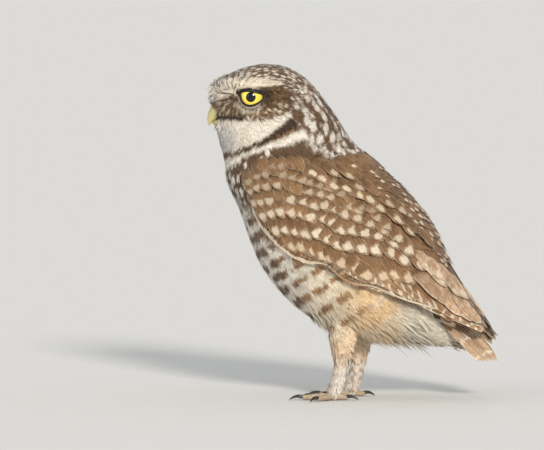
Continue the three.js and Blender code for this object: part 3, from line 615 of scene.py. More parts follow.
# Middles of the belly's bars, counted across them.
BAR_AT = [271, 287, 303, 319, 335, 351, 367, 380, 394, 411.5, 431, 452, 476, 500]


def blend(a, b, t):
    return a + (b - a) * np.asarray(t)[..., None]


def drops(along, across, deep, seed, share, radius):
    """1 inside the drops of a jittered lattice of cells, 0 between them."""
    across = across + 0.5 * np.mod(np.floor(deep), 2)
    q = np.stack([along + 0.5 * np.mod(np.floor(across), 2), across, deep], -1)
    cell = np.floor(q)
    hashed = lambda k: np.mod(np.sin(cell @ np.array([12.99, 78.23, 37.72]) + 4.1 * k + seed) * 43758.5, 1)
    middle = 0.5 + 0.14 * (2 * np.stack([hashed(1), hashed(2), hashed(3)], -1) - 1)
    far = np.linalg.norm((q - cell - middle) / (radius, radius, 0.52), axis=-1)
    return (1 - ramp(far, 0.75, 1.0)) * (hashed(4) < share)


def coat_colour(p):
    """Base colour of the head and body at points."""
    gx, gy = seen(p)
    side_on = np.abs(p[..., 1]) / GRID
    ring, turn = np.hypot(gx - 262, gy - 122), 50 * np.arctan2(gy - 122, gx - 262)
    n1, n2, n3 = wobble(p, 5.0, 1.0), wobble(p, 2.0, 2.0), wobble(p, 9.0, 4.0)
    jx, jy = gx + 1.2 * n1, gy + 1.2 * n2
    flat = lambda c: np.broadcast_to(c, (*gx.shape, 3))
    # Brown above, white below with bars, buff on the flank, white under the tail.
    upper = 1 - ramp(gy + 5 * n1 - 0.55 * (gx - 240), 194, 218)
    col = blend(flat(WHITE * 0.97), rgb(238, 226, 204), ramp(gx, 290, 330))
    breast = drops((0.97 * gy + 0.25 * gx) / 12, (0.97 * gx - 0.25 * gy) / 7, side_on / 7, 3, 0.95, 0.44)
    col = blend(col, blend(flat(BROWN * 0.4), WHITE * 0.95, breast * (gx < 300)), upper)
    across = np.interp(0.514 * gx + 0.857 * gy + 1.6 * n1, BAR_AT, np.arange(len(BAR_AT)))
    off = np.abs(across - np.round(across)) + 0.05 * n2
    # Towards the belly's front the bars grow wider and darker: partly the belly's own bars, partly painted
    # shade on the front edge.
    front = 1 - ramp(gx - 0.6 * (gy - 200), 234, 254)
    bar = 1 - ramp(off, 0.13 + 0.11 * front, 0.21 + 0.11 * front)
    along = 0.857 * gx - 0.514 * gy + 7 * np.round(across) + 2.5 * n3
    broken = ramp(np.abs(np.mod(along, 21.0) / 21.0 - 0.5), 0.06, 0.14)
    low = (1 - ramp(gx, 358, 384)) * (1 - ramp(gy, 322, 338))
    col = blend(col, blend(flat(BAR), UMBER * 0.85, 0.85 * front),
                0.95 * bar * broken * low * (1 - upper))
    buff = ramp(gx, 326, 368) * ramp(gy, 268, 292) * (1 - ramp(gx, 388, 412))
    col = blend(col, rgb(236, 202, 154), 0.85 * buff * (1 - 0.6 * bar))
    col = blend(col, rgb(227, 220, 202), ramp(gx, 388, 410) * ramp(gy, 285, 300))
    back = ramp(gx - (300 + 0.62 * (gy - 150)), -14, 10)
    col = blend(col, BROWN * 0.9, back * (1 - ramp(gx - 0.9 * gy, 175, 205)) * (1 - ramp(gy, 290, 320)))
    # The neck, then the marks of the head.
    col = blend(col, blend(flat(BROWN * 0.44), WHITE * 0.88, breast * (gx < 272)),
                1 - ramp(neck_level(gx, gy), 168, 178))
    nape = drops(turn / 10, ring / 6, side_on / 8, 2, 0.94, 0.53)
    col = blend(col, blend(flat(BROWN * 0.52), WHITE, nape), inside(jx, jy, NAPE, 5))
    neck = drops(turn / 13, ring / 8, side_on / 10, 5, 0.95, 0.55)
    col = blend(col, blend(flat(BROWN * 0.48), WHITE * 0.86, neck), inside(jx, jy, SIDE_NECK, 5))
    col = blend(col, WHITE * 0.97, inside(jx, jy, THROAT, 1.5))
    top = inside(jx, jy, CROWN, 3)
    dashes = drops(turn / 7.5, ring / 3.4, side_on / 4.5, 1, 0.92, 0.47)
    col = blend(col, blend(flat(BROWN * 0.6), WHITE, dashes), top * (1 - ramp(gy, 96, 106)))
    col = blend(col, blend(flat(UMBER * 0.72), BROWN * 1.05, ramp(n2, 0.0, 0.8)), inside(jx, jy, EARS, 1.5))
    rim = inside(jx, jy, CHEEK_RIM, 2)
    col = blend(col, blend(flat(rgb(120, 94, 68)), CREAM * 0.95, ramp(n2, 0.0, 0.7)), 0.85 * rim)
    col = blend(col, blend(flat(BROWN * 0.45), CREAM * 0.66, ramp(n2, 0.0, 0.8)), inside(jx, jy, LORES, 2.5))
    col = blend(col, blend(flat(WHITE), BUFF, 0.08 + 0.06 * n3), inside(jx, jy, CHEEK, 1.3))
    # Painted shade: the chin is washed blue-grey, as if in the shadow under the head.
    chin = (1 - ramp(gx, 226, 246)) * ramp(gy, 122, 130) * (1 - ramp(gy, 148, 156))
    col = blend(col, rgb(176, 178, 184), 0.6 * chin)
    fleck = ramp(gx, 240, 268)
    below = (gy - np.interp(gx, [240, 262, 291], [151.5, 142.5, 126])) / 4 + 0.7 * n2
    dark = blend(flat(DARK), blend(flat(BROWN * 0.62), rgb(134, 97, 64), fleck), ramp(below, 0.4, 1.0))
    col = blend(col, dark, inside(jx, jy, COLLAR, 1.2) * (fleck + (1 - fleck) * ramp(n2, -0.1, 0.2)))
    brow = blend(flat(rgb(238, 228, 208)), WHITE, 1 - ramp(gx, 215, 240))
    col = blend(col, brow, inside(jx, jy, BROW, 1.8))
    for corner in EYE_CORNERS:
        col = blend(col, DARK * 0.4, np.exp(-(near_line(gx, gy, corner) / 1.7) ** 2))
    col = blend(col, DARK * 0.3, np.exp(-(near_line(gx, gy, MOUTH) / 1.9) ** 4))
    near = near_line(gx, gy, LID_LOOP)
    pale = np.exp(-((near - 6.5) / 2.2) ** 2) * ramp(gy, 101, 106) * (1 - ramp(gx, 258, 266))
    col = blend(col, CREAM * 0.8, 0.7 * pale)
    upper = ramp(gx, 244, 250) * (1 - ramp(gy, 94, 97))
    return blend(col, DARK * 0.5, np.exp(-(near / (3.6 + 0.9 * upper)) ** 2))


def body_kind(p):
    """No spots or bars of the feather's own; then how dark its root is."""
    bright = coat_colour(p).mean(-1)
    return np.column_stack([np.zeros((len(p), 3)), 0.05 + 0.35 * (1 - ramp(bright, 0.1, 0.5))])


# Materials
class Tree:
    """Short calls for building a material's nodes."""

    def __init__(self, name, roughness=0.6, **sockets):
        self.mat = bpy.data.materials.new(name)
        self.mat.use_nodes = True
        self.nodes, self.links = self.mat.node_tree.nodes, self.mat.node_tree.links
        self.shader = self.nodes["Principled BSDF"]
        self.set("Roughness", roughness)
        for key, value in sockets.items():
            self.set(key.replace("_", " "), value)

    def put(self, sock, value):
        if isinstance(value, bpy.types.NodeSocket):
            self.links.new(value, sock)
        elif hasattr(value, "__len__") and len(value) == 3 and len(sock.default_value) == 4:
            sock.default_value = (*value, 1.0)
        else:
            sock.default_value = value

    def set(self, key, value):
        self.put(self.shader.inputs[key], value)

    def node(self, kind, **inputs):
        n = self.nodes.new(kind)
        for key, value in inputs.items():
            self.put(n.inputs[key], value)
        return n

    def math(self, op, a, b=0.0, clamp=False):
        n = self.nodes.new("ShaderNodeMath")
        n.operation, n.use_clamp = op, clamp
        self.put(n.inputs[0], a)
        self.put(n.inputs[1], b)
        return n.outputs[0]

    def step(self, x, a, b):
        """0 where x is a, 1 where it is b, held beyond."""
        return self.math("DIVIDE", self.math("SUBTRACT", x, a), b - a, True)

    def vector(self, op, a, b=None, scale=1.0):
        n = self.nodes.new("ShaderNodeVectorMath")
        n.operation = op
        self.put(n.inputs[0], a)
        if b is not None:
            self.put(n.inputs[1], b)
        else:
            self.put(n.inputs["Scale"], scale)
        return n.outputs[0]

    def times(self, *values):
        out = values[0]
        for v in values[1:]:
            out = self.math("MULTIPLY", out, v)
        return out

    def mix(self, t, a, b, mode="MIX"):
        n = self.nodes.new("ShaderNodeMix")
        n.data_type, n.blend_type = "RGBA", mode
        self.put(n.inputs[0], t)
        self.put(n.inputs[6], a)
        self.put(n.inputs[7], b)
        return n.outputs[2]

    def grey(self, value):
        n = self.nodes.new("ShaderNodeCombineColor")
        for sock in n.inputs:
            self.put(sock, value)
        return n.outputs[0]

    def attribute(self, name, output="Color"):
        n = self.nodes.new("ShaderNodeAttribute")
        n.attribute_name = name
        return n.outputs[output]

    def split(self, colour):
        return self.node("ShaderNodeSeparateColor", Color=colour).outputs[:3]

    def noise(self, scale, detail=3.0, **more):
        place = self.nodes.new("ShaderNodeTexCoord").outputs["Object"]
        return self.node("ShaderNodeTexNoise", Vector=place, Scale=scale, Detail=detail, **more).outputs[0]

    def bump(self, height, strength=0.4, distance=0.0003):
        self.set("Normal", self.node("ShaderNodeBump", Height=height, Strength=strength,
                                     Distance=distance).outputs[0])


def feather_material(name, bars=4.0, duty=0.35, notch=False, fringe=0.0, rough=0.0,
                     spot=(0.45, 0.31, 0.75, 0.155), patchy=1.0, drift=9.0, lines=0.0):
    """Feathers: colour layers tint and mark, and kind, which holds in red the spot, in green
    bars, and in alpha how dark the root is."""
    t = Tree(name, 0.62, Sheen_Weight=0.1, Sheen_Roughness=0.5, Specular_IOR_Level=0.22)
    uv = t.nodes.new("ShaderNodeUVMap")
    uv.uv_map = "vane"
    sep = t.nodes.new("ShaderNodeSeparateXYZ")
    t.links.new(uv.outputs[0], sep.inputs[0])
    c, s = sep.outputs[0], sep.outputs[1]
    spots, bar, _ = t.split(t.attribute("kind"))
    dark = t.attribute("kind", "Alpha")
    off = t.math("ABSOLUTE", t.math("SUBTRACT", c, 0.5))
    fine, wide = t.noise(900.0, 2.0), t.noise(170.0)
    jitter = t.times(t.math("SUBTRACT", t.noise(420.0, 2.0), 0.5), 1.3)
    # A squarish spot in the part that the rows above leave free.
    dy = t.math("DIVIDE", t.math("SUBTRACT", s, spot[2]), spot[3])
    dx = t.math("DIVIDE", t.math("SUBTRACT", c, spot[0]), spot[1])
    cube = lambda v: t.math("POWER", t.math("ABSOLUTE", v), 3.0)
    r = t.math("ADD", cube(dx), cube(dy))
    found = t.step(t.math("ADD", t.math("POWER", r, 0.3333), jitter), 1.25, 0.65)
    slant = t.math("SUBTRACT", s, t.times(off, 0.16))
    wander = t.times(t.math("SUBTRACT", t.noise(110.0, 1.0), 0.5), drift)
    wave = t.math("ADD", t.math("SINE", t.math("ADD", t.times(slant, 6.2832 * bars), wander)), jitter)
    band = t.step(wave, duty, duty + 0.4)
    if notch:
        band = t.times(band, t.step(off, 0.08, 0.24))
    mask = t.math("MAXIMUM", t.times(found, spots), t.times(band, bar))
    place = t.vector("SCALE", t.nodes.new("ShaderNodeTexCoord").outputs["Object"], None, 70.0)
    vane = t.node("ShaderNodeCombineXYZ", X=t.times(c, 16.0), Y=t.times(s, 2.6)).outputs[0]
    streaks = t.node("ShaderNodeTexNoise", Vector=t.vector("ADD", place, vane), Scale=1.0,
                     Detail=3.0).outputs[0]
    base = t.mix(t.times(t.step(wide, 0.38, 0.62), patchy), t.attribute("tint"), (0.7, 0.66, 0.61),
                 "MULTIPLY")
    base = t.mix(t.times(t.step(streaks, 0.5, 0.66), rough), base, (1.4, 1.36, 1.3), "MULTIPLY")
    base = t.mix(t.times(t.step(streaks, 0.46, 0.34), rough), base, (0.66, 0.62, 0.58), "MULTIPLY")
    # Pale and dark lines along the vane: the pale ones are the feathers' edges, the dark ones are painted
    # shade where the folded tail feathers overlap.
    if lines:
        stripe = t.math("SINE", t.math("ADD", t.times(c, 6.2832 * lines), t.times(wide, 3.0)))
        base = t.mix(t.times(t.step(stripe, 0.0, 0.7), 0.6), base, tuple(CREAM * 0.85))
        base = t.mix(t.times(t.step(stripe, -0.5, -0.9), 0.65), base, (0.42, 0.27, 0.17), "MULTIPLY")
    base = t.mix(t.times(t.step(off, 0.0, 0.5), 0.5), t.mix(1.0, base, (0.84, 0.82, 0.8), "MULTIPLY"), base)
    colour = t.mix(mask, base, t.attribute("mark"))
    if fringe:
        edge = t.math("MAXIMUM", t.step(off, 0.4, 0.49), t.step(s, 0.93, 0.99))
        colour = t.mix(t.times(edge, fringe), colour, tuple(CREAM * 0.8))
    root = t.times(t.step(s, 0.55, 0.0), dark)
    colour = t.mix(root, colour, (0.3, 0.26, 0.22), "MULTIPLY")
    shaft = t.times(t.step(off, 0.03, 0.01), 0.3)
    colour = t.mix(shaft, colour, (0.45, 0.36, 0.28), "MULTIPLY")
    barbs = t.math("SINE", t.times(t.math("SUBTRACT", s, t.times(off, 0.9)), 150.0))
    grain = t.math("ADD", t.times(barbs, 0.06), t.times(t.math("SUBTRACT", fine, 0.5), 0.5))
    colour = t.mix(1.0, colour, t.grey(t.math("ADD", grain, 0.98)), "MULTIPLY")
    t.set("Base Color", colour)
    t.bump(t.math("ADD", t.times(barbs, 0.5), t.times(fine, 0.8)), 0.3, 0.0001)
    return t.mat


def skin_material(name):
    t = Tree(name, 0.85, Sheen_Weight=0.1)
    grain = t.noise(700.0, 4.0)
    t.set("Base Color", t.mix(1.0, t.attribute("tint"),
                              t.grey(t.math("ADD", t.times(grain, 0.4), 0.66)), "MULTIPLY"))
    t.bump(grain, 0.6, 0.0004)
    return t.mat


def horn_material(name, base, tip, roughness):
    """Horn: two colours mixed by the tint layer's red, with fine growth lines."""
    t = Tree(name, roughness, Specular_IOR_Level=0.45, Coat_Weight=0.12, Coat_Roughness=0.3)
    grain = t.noise(380.0, 4.0, Distortion=0.8)
    colour = t.mix(t.split(t.attribute("tint"))[0], base, tip)
    t.set("Base Color", t.mix(t.times(grain, 0.7), colour, (0.55, 0.5, 0.42), "MULTIPLY"))
    t.set("Roughness", t.math("ADD", t.times(grain, 0.2), roughness - 0.1))
    t.bump(grain, 0.2, 0.0002)
    return t.mat


def eye_material(name):
    """Eye: ten times the mark layer's red is the distance from the middle of the pupil, in mm."""
    t = Tree(name, 0.16, Specular_IOR_Level=0.3, Coat_Weight=0.35, Coat_Roughness=0.02)
    r = t.times(t.split(t.attribute("mark"))[0], 10.0)
    iris = t.mix(t.step(r, 3.0, 6.6), rgb(250, 232, 104), rgb(236, 206, 62))
    iris = t.mix(t.times(t.noise(1500.0), 0.4), iris, rgb(214, 172, 50))
    colour = t.mix(t.step(r, 6.5, 7.1), iris, (0.012, 0.010, 0.008))
    t.set("Base Color", t.mix(t.step(r, 3.25, 3.05), colour, (0.002, 0.002, 0.002)))
    return t.mat


def tinted_material(name, roughness, scale):
    """Skin of the lids, coloured by the tint layer."""
    t = Tree(name, roughness, Specular_IOR_Level=0.35)
    grain = t.noise(scale, 3.0)
    t.set("Base Color", t.mix(t.times(grain, 0.7), t.attribute("tint"), (0.5, 0.46, 0.42), "MULTIPLY"))
    t.bump(grain, 0.6, 0.0003)
    return t.mat


# Skin
COAT = 1.4  # mm from the solids' surface down to the skin


def leg_parts(hand):
    x, y = (LEFT_FOOT if hand < 0 else RIGHT_FOOT), hand * STANCE
    thigh = Limb([[x + 8, hand * 13, 66], [x + 7, hand * 15, 55], [x + 6, hand * 16, 44],
                  [x + 6, hand * 15.5, 35], [x + 5.6, y, 27], [x + 5, y, 21]], [6, 8.8, 8.6, 7.0, 4.8, 3.6])
    shank = Limb([[x + 5.1, y, 24], [x + 4.4, y, 17], [x + 3, y, 11], [x + 1, y, 6.3],
                  [x - 0.2, y, 3.1]], [3.9, 4.2, 4.4, 4.4, 3.0])
    return thigh, shank


TOES = {"inner": (-30, 15.5, 8.5), "middle": (3, 19, 8.5), "outer": (52, 15.5, 8), "hind": (168, 9, 7.5)}


def toe_parts(hand, name):
    x = LEFT_FOOT if hand < 0 else RIGHT_FOOT
    degrees, length, claw = TOES[name]
    t = math.radians(degrees)
    d = np.array([-math.cos(t), hand * math.sin(t), 0])
    at = lambda k, z: np.array([x, hand * STANCE, 0]) + d * k + (0, 0, z)
    steps = np.linspace(0, 1, 13)
    pads = 1 + 0.09 * np.sin(steps * 2 * math.pi * 3.5 + 1.0)
    toe = Limb([at(1.5 + (length - 0.3) * k, 2.55 - 0.6 * k) for k in steps],
               (2.5 - 0.75 * steps) * pads * np.where(steps > 0.97, 0.5, 1), 0.95)
    claw = Limb([at(length - 1.5, 2.1), at(length + claw * 0.2, 2.7), at(length + claw * 0.5, 2.6),
                 at(length + claw * 0.8, 1.6), at(length + claw, 0.5)], [1.2, 1.15, 0.9, 0.55, 0.1])
    return toe, claw


def tube(surface, rings, around, grow=0.0, hand=1):
    return lathe_grid(surface.at(*ring_grid(surface, rings, around), hand, grow))


def wing_sheet(hand, grow, long=60, wide=26):
    """The flesh of a folded wing, as a closed sheet under its feathers."""
    edge = smooth_rows(np.array(WING_EDGE, float), np.linspace(0, len(WING_EDGE) - 1, long))
    u, low = find_seen(wrap, edge[:, 0], edge[:, 1] + 1.0)
    # Its upper edge stands off the back's middle, more at the shoulder than at the tip, and the
    # left wing leaves room for the right one's tip.
    shoulder, tip, room = 15, 1.1, 5.5
    gap = room * np.clip((u - 8) / 3, 0, 1) if hand < 0 else 0 * u
    off = gap + shoulder + (tip - shoulder) * np.clip((u - 0.8) / 7, 0, 1)
    top = np.pi - np.arcsin(np.minimum(0.95, off / smooth_rows(wrap.rows, u)[:, 4]))
    k = np.linspace(0.02, 0.98, wide)
    a = low[:, None] + (top - low)[:, None] * k
    outer = wrap.at(u[:, None], a, hand, grow)
    inner = wrap.at(u[:, None], a, hand, grow - 2.4)
    ring = np.concatenate([outer, inner[:, ::-1]], 1)
    return lathe_grid(ring[: int(long * 0.92)])


def join_tubes(parts):
    verts, faces, n = [], [], 0
    for v, f in parts:
        verts.append(v)
        faces.append(f + n)
        n += len(v)
    return np.vstack(verts), np.vstack(faces)


def eye_frame(hand):
    """Middle of an eye, the way it looks, and its two directions across."""
    # Its depth follows the width of the face just in front of it.
    u, a = trunk.find(np.array([243.0]), np.array([96.0]))
    front = trunk.plain(u, a, hand)[0]
    x, z = side(*EYE_AT)
    centre = np.array([x, hand * (abs(front[1]) - EYE_RADIUS * 0.86), z])
    t = math.radians(EYE_FORWARD)
    d = unit(np.array([-math.sin(t), hand * math.cos(t), 0.0]))
    s = unit(np.cross(d, [0, 0, 1.0]))
    return centre, d, s, np.cross(s, d)


FLESH = ["head", "neck", "torso", "tail"]
FLESH += [f"{part}_{_name}_{end}" for _name in HANDS for part, ends in (
    ("wing", ("coverts", "flight")), ("leg", ("thigh", "shank")), ("toe", TOES)) for end in ends]
VOXEL = 0.00115  # m, the step at which the skin's parts are fused


def build_skin():
    """One skin for all flesh, fused of the trunk, the wings' sheets, the legs and the tail's root."""
    u, a = ring_grid(trunk, 150, 110)
    p = trunk.at(u, a, 1, -COAT)
    # The skin is sunk behind the opening between the lids.
    gx, gy = seen(p)
    hole = inside(gx, gy, LIDS_SEEN, 2.0) * (np.abs(p[..., 1]) > 10)
    body = trunk.at(u, a, 1, -COAT - 3.5 * hole)
    # The rump is narrow above the line of the tail's lower edge.
    body[..., 1] *= 1 - 0.9 * ramp(gx, 424, 434) * ramp(tail_line(gx) - gy, -5, 1)
    parts = [lathe_grid(body)]
    for hand in HANDS.values():
        parts.append(wing_sheet(hand, -1.4))
        thigh, shank = leg_parts(hand)
        parts.append(tube(thigh, 24, 24, -1.0))
        parts.append(tube(shank, 24, 20, -1.0))
        for name in TOES:
            parts.append(tube(toe_parts(hand, name)[0], 40, 14, -0.1))
    path = [side(428, 298), side(446, 313), side(462, 328), side(480, 346)]
    parts.append(tube(Limb([[x, 0, z] for x, z in path], [9, 6, 4.5, 2], 0.5), 20, 24))
    verts, faces = join_tubes(parts)
    mesh = bpy.data.meshes.new("skin_rough")
    mesh.from_pydata(placed(verts).tolist(), [], [list(dict.fromkeys(f)) for f in faces.tolist()])
    ob = bpy.data.objects.new("skin_rough", mesh)
    bpy.context.scene.collection.objects.link(ob)
    fuse = ob.modifiers.new("fuse", "REMESH")
    fuse.mode, fuse.voxel_size = "VOXEL", VOXEL
    soft = ob.modifiers.new("soft", "SMOOTH")
    soft.factor, soft.iterations = 0.5, 2
    done = ob.evaluated_get(bpy.context.evaluated_depsgraph_get()).to_mesh()
    co = np.zeros(len(done.vertices) * 3)
    done.vertices.foreach_get("co", co)
    quads = np.array([list(f.vertices) + [f.vertices[-1]] * (4 - len(f.vertices)) for f in done.polygons])
    ob.to_mesh_clear()
    bpy.data.objects.remove(ob)
    bpy.data.meshes.remove(mesh)
    co = co.reshape(-1, 3)
    drawn = unturned(co * 1000 - (SHIFT, 0, 0))
    gx, gy = seen(drawn)
    tint = coat_colour(drawn)
    z = drawn[:, 2]
    leg = blend(np.broadcast_to(WHITE * 0.85, tint.shape), BUFF, ramp(z, 12, 30))
    tint = blend(tint, leg, (1 - ramp(z, 34, 42)) * (gx < 385))
    tint = blend(tint, rgb(176, 156, 128), 1 - ramp(z, 3.5, 6.5))
    on_wing = inside(gx, gy, WING_EDGE + [[478, 300], [440, 240], [403, 190], [372, 165], [300, 165]], 1)
    rump = ramp(gx, 422, 428) * (gy < tail_line(gx))
    tint = blend(tint, BROWN * 0.7, np.maximum(on_wing * (np.abs(drawn[:, 1]) > 12), rump))
    return make_piece("skin", co, quads, skin_material("skin"), "body_feathers", {"tint": tint},
                      replaces=FLESH, ready=True)


# Eyes, lids, bill and claws
def build_eye(name, hand):
    centre, d, s, n = eye_frame(hand)
    t = np.linspace(0.02, math.pi - 0.02, 48)[:, None]
    v = (np.arange(64) * 2 * np.pi / 64)[None]
    r = EYE_RADIUS - 0.05 + EYE_BULGE * np.exp(-((t / 0.55) ** 2))
    around = np.cos(v)[..., None] * s + np.sin(v)[..., None] * n
    q = np.sin(t)[..., None] * around + np.cos(t)[..., None] * d
    verts, faces = lathe_grid(centre + q * r[..., None])
    ahead = np.sum((verts - centre) * d, -1)
    dist = np.linalg.norm(verts - centre - d * ahead[:, None], axis=-1)
    dist = np.where(ahead > 0, dist, 12)
    make_piece(f"eye_ball_{name}", verts, faces, MATS["eye"], "eye",
               {"mark": np.repeat((dist / 10)[:, None], 3, 1)}, replaces=[f"eye_{name}"])


def smooth_loop(points, count):
    """A closed smooth line through points."""
    points = np.array(points, float)
    n = len(points)
    t = np.arange(count) / count * n
    i = np.floor(t).astype(int)
    f = (t - i)[:, None]
    a, b, c, d = [points[(i + k) % n] for k in (-1, 0, 1, 2)]
    return 0.5 * (2 * b + (c - a) * f + (2 * a - 5 * b + 4 * c - d) * f ** 2
                  + (3 * b - a - 3 * c + d) * f ** 3)


def on_ball(gx, gy, centre, radius):
    """Points of a ball round the left eye that stand at gx, gy in the picture."""
    c = turned(centre)
    x, up = (gx - MIDDLE) * GRID, (TALL / 2 - gy) * GRID
    y = np.full(len(gx), c[1] - radius)
    for _ in range(12):
        z = (up - y * math.sin(CAMERA_UP)) / math.cos(CAMERA_UP) + LOOK_Z
        y = c[1] - np.sqrt(np.maximum(radius ** 2 - (x - c[0]) ** 2 - (z - c[2]) ** 2, 0.5))
    return unturned(np.stack([x, y, z], -1))


# Rings of the lids: grid steps out from the opening, mm over the ball, and how pale the ring is.
LID_RINGS = [(-0.3, -0.3, 0), (-0.1, 0.3, 0), (0.6, 0.75, 0), (1.5, 0.75, 0), (2.2, 0.45, 0.5),
             (3.0, 0.75, 1), (3.9, 0.6, 0.6), (5.0, 0.1, 0.2), (6.4, -0.6, 0)]


def build_lids(name, hand):
    """A soft rim round the opening, from the ball out to the face."""
    centre = eye_frame(-1)[0]
    loop = smooth_loop(LIDS_SEEN, 84)
    mid = loop.mean(0)
    away = unit(loop - mid)
    upper = ramp(mid[1] - loop[:, 1], -1.5, 3.5)
    rings, tints = [], []
    for out, over, pale in LID_RINGS:
        ring = loop + away * (out * (1 + 0.25 * upper))[:, None]
        t = ramp(np.full(len(loop), float(out)), 0.8, 5.6)[:, None]
        ball = on_ball(ring[:, 0], ring[:, 1], centre, EYE_RADIUS + EYE_BULGE * 0.35 + over)
        face = trunk.at(*find_seen(trunk, ring[:, 0], ring[:, 1]), -1, -0.5 + over * 0.4)
        # The brow hangs over the upper lid a little.
        face[:, 1] -= 0.7 * upper
        rings.append((ball * (1 - t) + face * t) * (1, -hand, 1))
        rear = ramp(ring[:, 0], 257, 264)
        black = np.broadcast_to(rgb(22, 18, 16), (len(loop), 3))
        rim = blend(black, rgb(176, 166, 152), pale * (1 - upper) * (1 - rear))
        rim = blend(rim, CREAM * 0.8, upper * (out > 3.5) * (1 - ramp(ring[:, 0], 256, 261)))
        tints.append(blend(rim, UMBER * 0.5, (out > 3.5) * rear))
    make_piece(f"lids_{name}", *lathe_grid(np.array(rings), False), MATS["lid"], "head_feathers",
               {"tint": np.array(tints).reshape(-1, 3)})


BILL_UPPER = [
    [224, 96, 228, 113, 4.4], [219, 98, 224, 114.5, 4.4], [213.4, 101.8, 220.5, 116, 4.2],
    [209, 107.5, 217.2, 117.8, 3.6], [206.6, 114, 213.2, 119.6, 2.7], [206.1, 119.5, 210.2, 122, 1.6],
    [207.2, 124.6, 208.4, 125.2, 0.25],
]
BILL_LOWER = [
    [223, 119, 229, 127.5, 3.6], [218.2, 118.4, 223.6, 126.8, 3.3], [213.6, 119.4, 217.8, 125.6, 2.5],
    [210.4, 121.4, 212.2, 123.6, 0.6],
]
NOSTRIL = (-84.6, 3.4, 184.0)  # mm, of the bill's right side
NOSTRIL_DEEP = 0.9


def build_bill():
    for name, rows in (("upper", BILL_UPPER), ("lower", BILL_LOWER)):
        form = Form(rows)
        u, a = ring_grid(form, 60, 48)
        p = form.at(u, a, 1)
        if name == "upper":
            for hand in HANDS.values():
                hole = np.array(NOSTRIL) * (1, hand, 1)
                deep = NOSTRIL_DEEP * np.exp(-(np.linalg.norm(p - hole, axis=-1) / 1.0) ** 2)
                p = p - np.array([0, hand, 0]) * deep[..., None]
            # The keel along the top is a little pinched.
            p[..., 1] *= 1 - 0.25 * np.clip(np.cos(a), 0, 1) ** 3
        verts, faces = lathe_grid(p)
        gx, gy = grid_of(verts)
        tip = ramp(gy - 0.3 * (gx - 207), 100, 124) if name == "upper" else 0.35 + 0 * gx
        make_piece(f"bill_horn_{name}", verts, faces, MATS["bill"], "bill",
                   {"tint": np.repeat(np.asarray(tip)[:, None], 3, 1)}, replaces=[f"bill_{name}"])


def build_claws():
    for side_name, hand in HANDS.items():
        for toe in TOES:
            v, f = tube(toe_parts(hand, toe)[1], 30, 18)
            v[:, 2] = np.maximum(v[:, 2], 0.12)
            tint = np.concatenate([np.linspace(0, 1, 30).repeat(18), [0, 1]])
            make_piece(f"claw_horn_{side_name}_{toe}", v, f, MATS["claw"], "claw",
                       {"tint": np.repeat(tint[:, None], 3, 1)}, replaces=[f"claw_{side_name}_{toe}"])


# Feathers
# How the coat lies: places in the picture, each with a direction to the right and down.
LIE = np.array([
    [206, 92, -1, 0.4], [214, 84, -0.7, -0.6], [222, 77, 0.6, -0.7], [235, 72, 0.85, -0.45],
    [252, 68, 1, -0.05], [272, 71, 0.95, 0.3], [292, 80, 0.85, 0.5], [310, 96, 0.72, 0.7],
    [326, 116, 0.62, 0.8], [228, 86, -0.5, -0.7], [240, 86, 0.5, -0.7], [254, 86, 0.85, -0.4],
    [270, 86, 1, -0.1], [224, 97, -1, 0.1], [221, 105, -0.85, 0.5], [228, 112, -0.5, 0.85],
    [238, 111, 0.0, 1], [250, 112, 0.4, 0.9], [264, 108, 0.85, 0.5], [276, 98, 1, 0.1],
    [284, 90, 1, 0.05], [278, 113, 0.9, 0.45], [290, 108, 0.8, 0.6], [232, 122, 0.1, 1],
    [248, 126, 0.55, 0.83], [268, 127, 0.8, 0.6], [284, 125, 0.85, 0.55], [222, 140, 0.1, 1],
    [240, 150, 0.35, 0.93], [262, 146, 0.6, 0.8], [288, 140, 0.7, 0.7], [308, 132, 0.65, 0.75],
    [228, 168, 0.2, 0.98], [250, 165, 0.45, 0.9], [236, 195, 0.3, 0.95], [246, 220, 0.38, 0.92],
    [262, 252, 0.48, 0.87], [285, 282, 0.6, 0.8], [310, 306, 0.72, 0.7], [340, 325, 0.75, 0.66],
    [330, 285, 0.62, 0.78], [352, 305, 0.68, 0.73], [378, 312, 0.72, 0.7], [392, 330, 0.78, 0.62],
    [420, 322, 0.76, 0.65], [445, 335, 0.76, 0.65], [345, 145, 0.68, 0.73], [368, 160, 0.7, 0.7],
    [402, 192, 0.66, 0.75], [428, 225, 0.55, 0.83], [450, 262, 0.5, 0.86], [474, 305, 0.56, 0.83],
    [320, 160, 0.75, 0.66], [290, 175, 0.6, 0.8],
], float)


def coat_lie(p, n):
    """Direction of the coat at points, from the places of LIE near them."""
    gx, gy = seen(p)
    w = 1 / ((gx[:, None] - LIE[:, 0]) ** 2 + (gy[:, None] - LIE[:, 1]) ** 2 + 30) ** 2
    d = w @ LIE[:, 2:] / w.sum(1, keepdims=True)
    d = d + 0.1 * rng.normal(size=d.shape)
    out = np.stack([d[:, 0], 0 * gx, -d[:, 1]], -1)
    front = np.exp(-((gx - 209) / 8) ** 2) * ramp(gy, 86, 94) * (1 - ramp(gy, 122, 132))
    return out + np.stack([0 * gx, np.sign(p[:, 1]) * 0.8 * front, -0.5 * front], -1)


def painted(colour, mark, kind, vary=0.1, spread_in=0.9):
    """Colours of feathers: the coat's own, read partly at the root and partly along the feather."""
    def paint(p, line, across, width, rows, cols):
        n = len(p)
        c = np.linspace(-1, 1, cols)
        pts = line[:, :, None] + across[:, :, None] * (width[:, None, None] * c)[..., None] * 0.8
        pts = p[:, None, None] + (pts - p[:, None, None]) * spread_in
        k = 1 + vary * rng.normal(size=(n, 1, 1, 1))
        tint = np.clip(colour(pts) * k, 0, 1).reshape(n, rows * cols, 3)
        kd = kind(p) if callable(kind) else np.broadcast_to(np.array(kind, float), (n, 4))
        return tint, np.broadcast_to(mark, (n, 3)), kd
    return paint


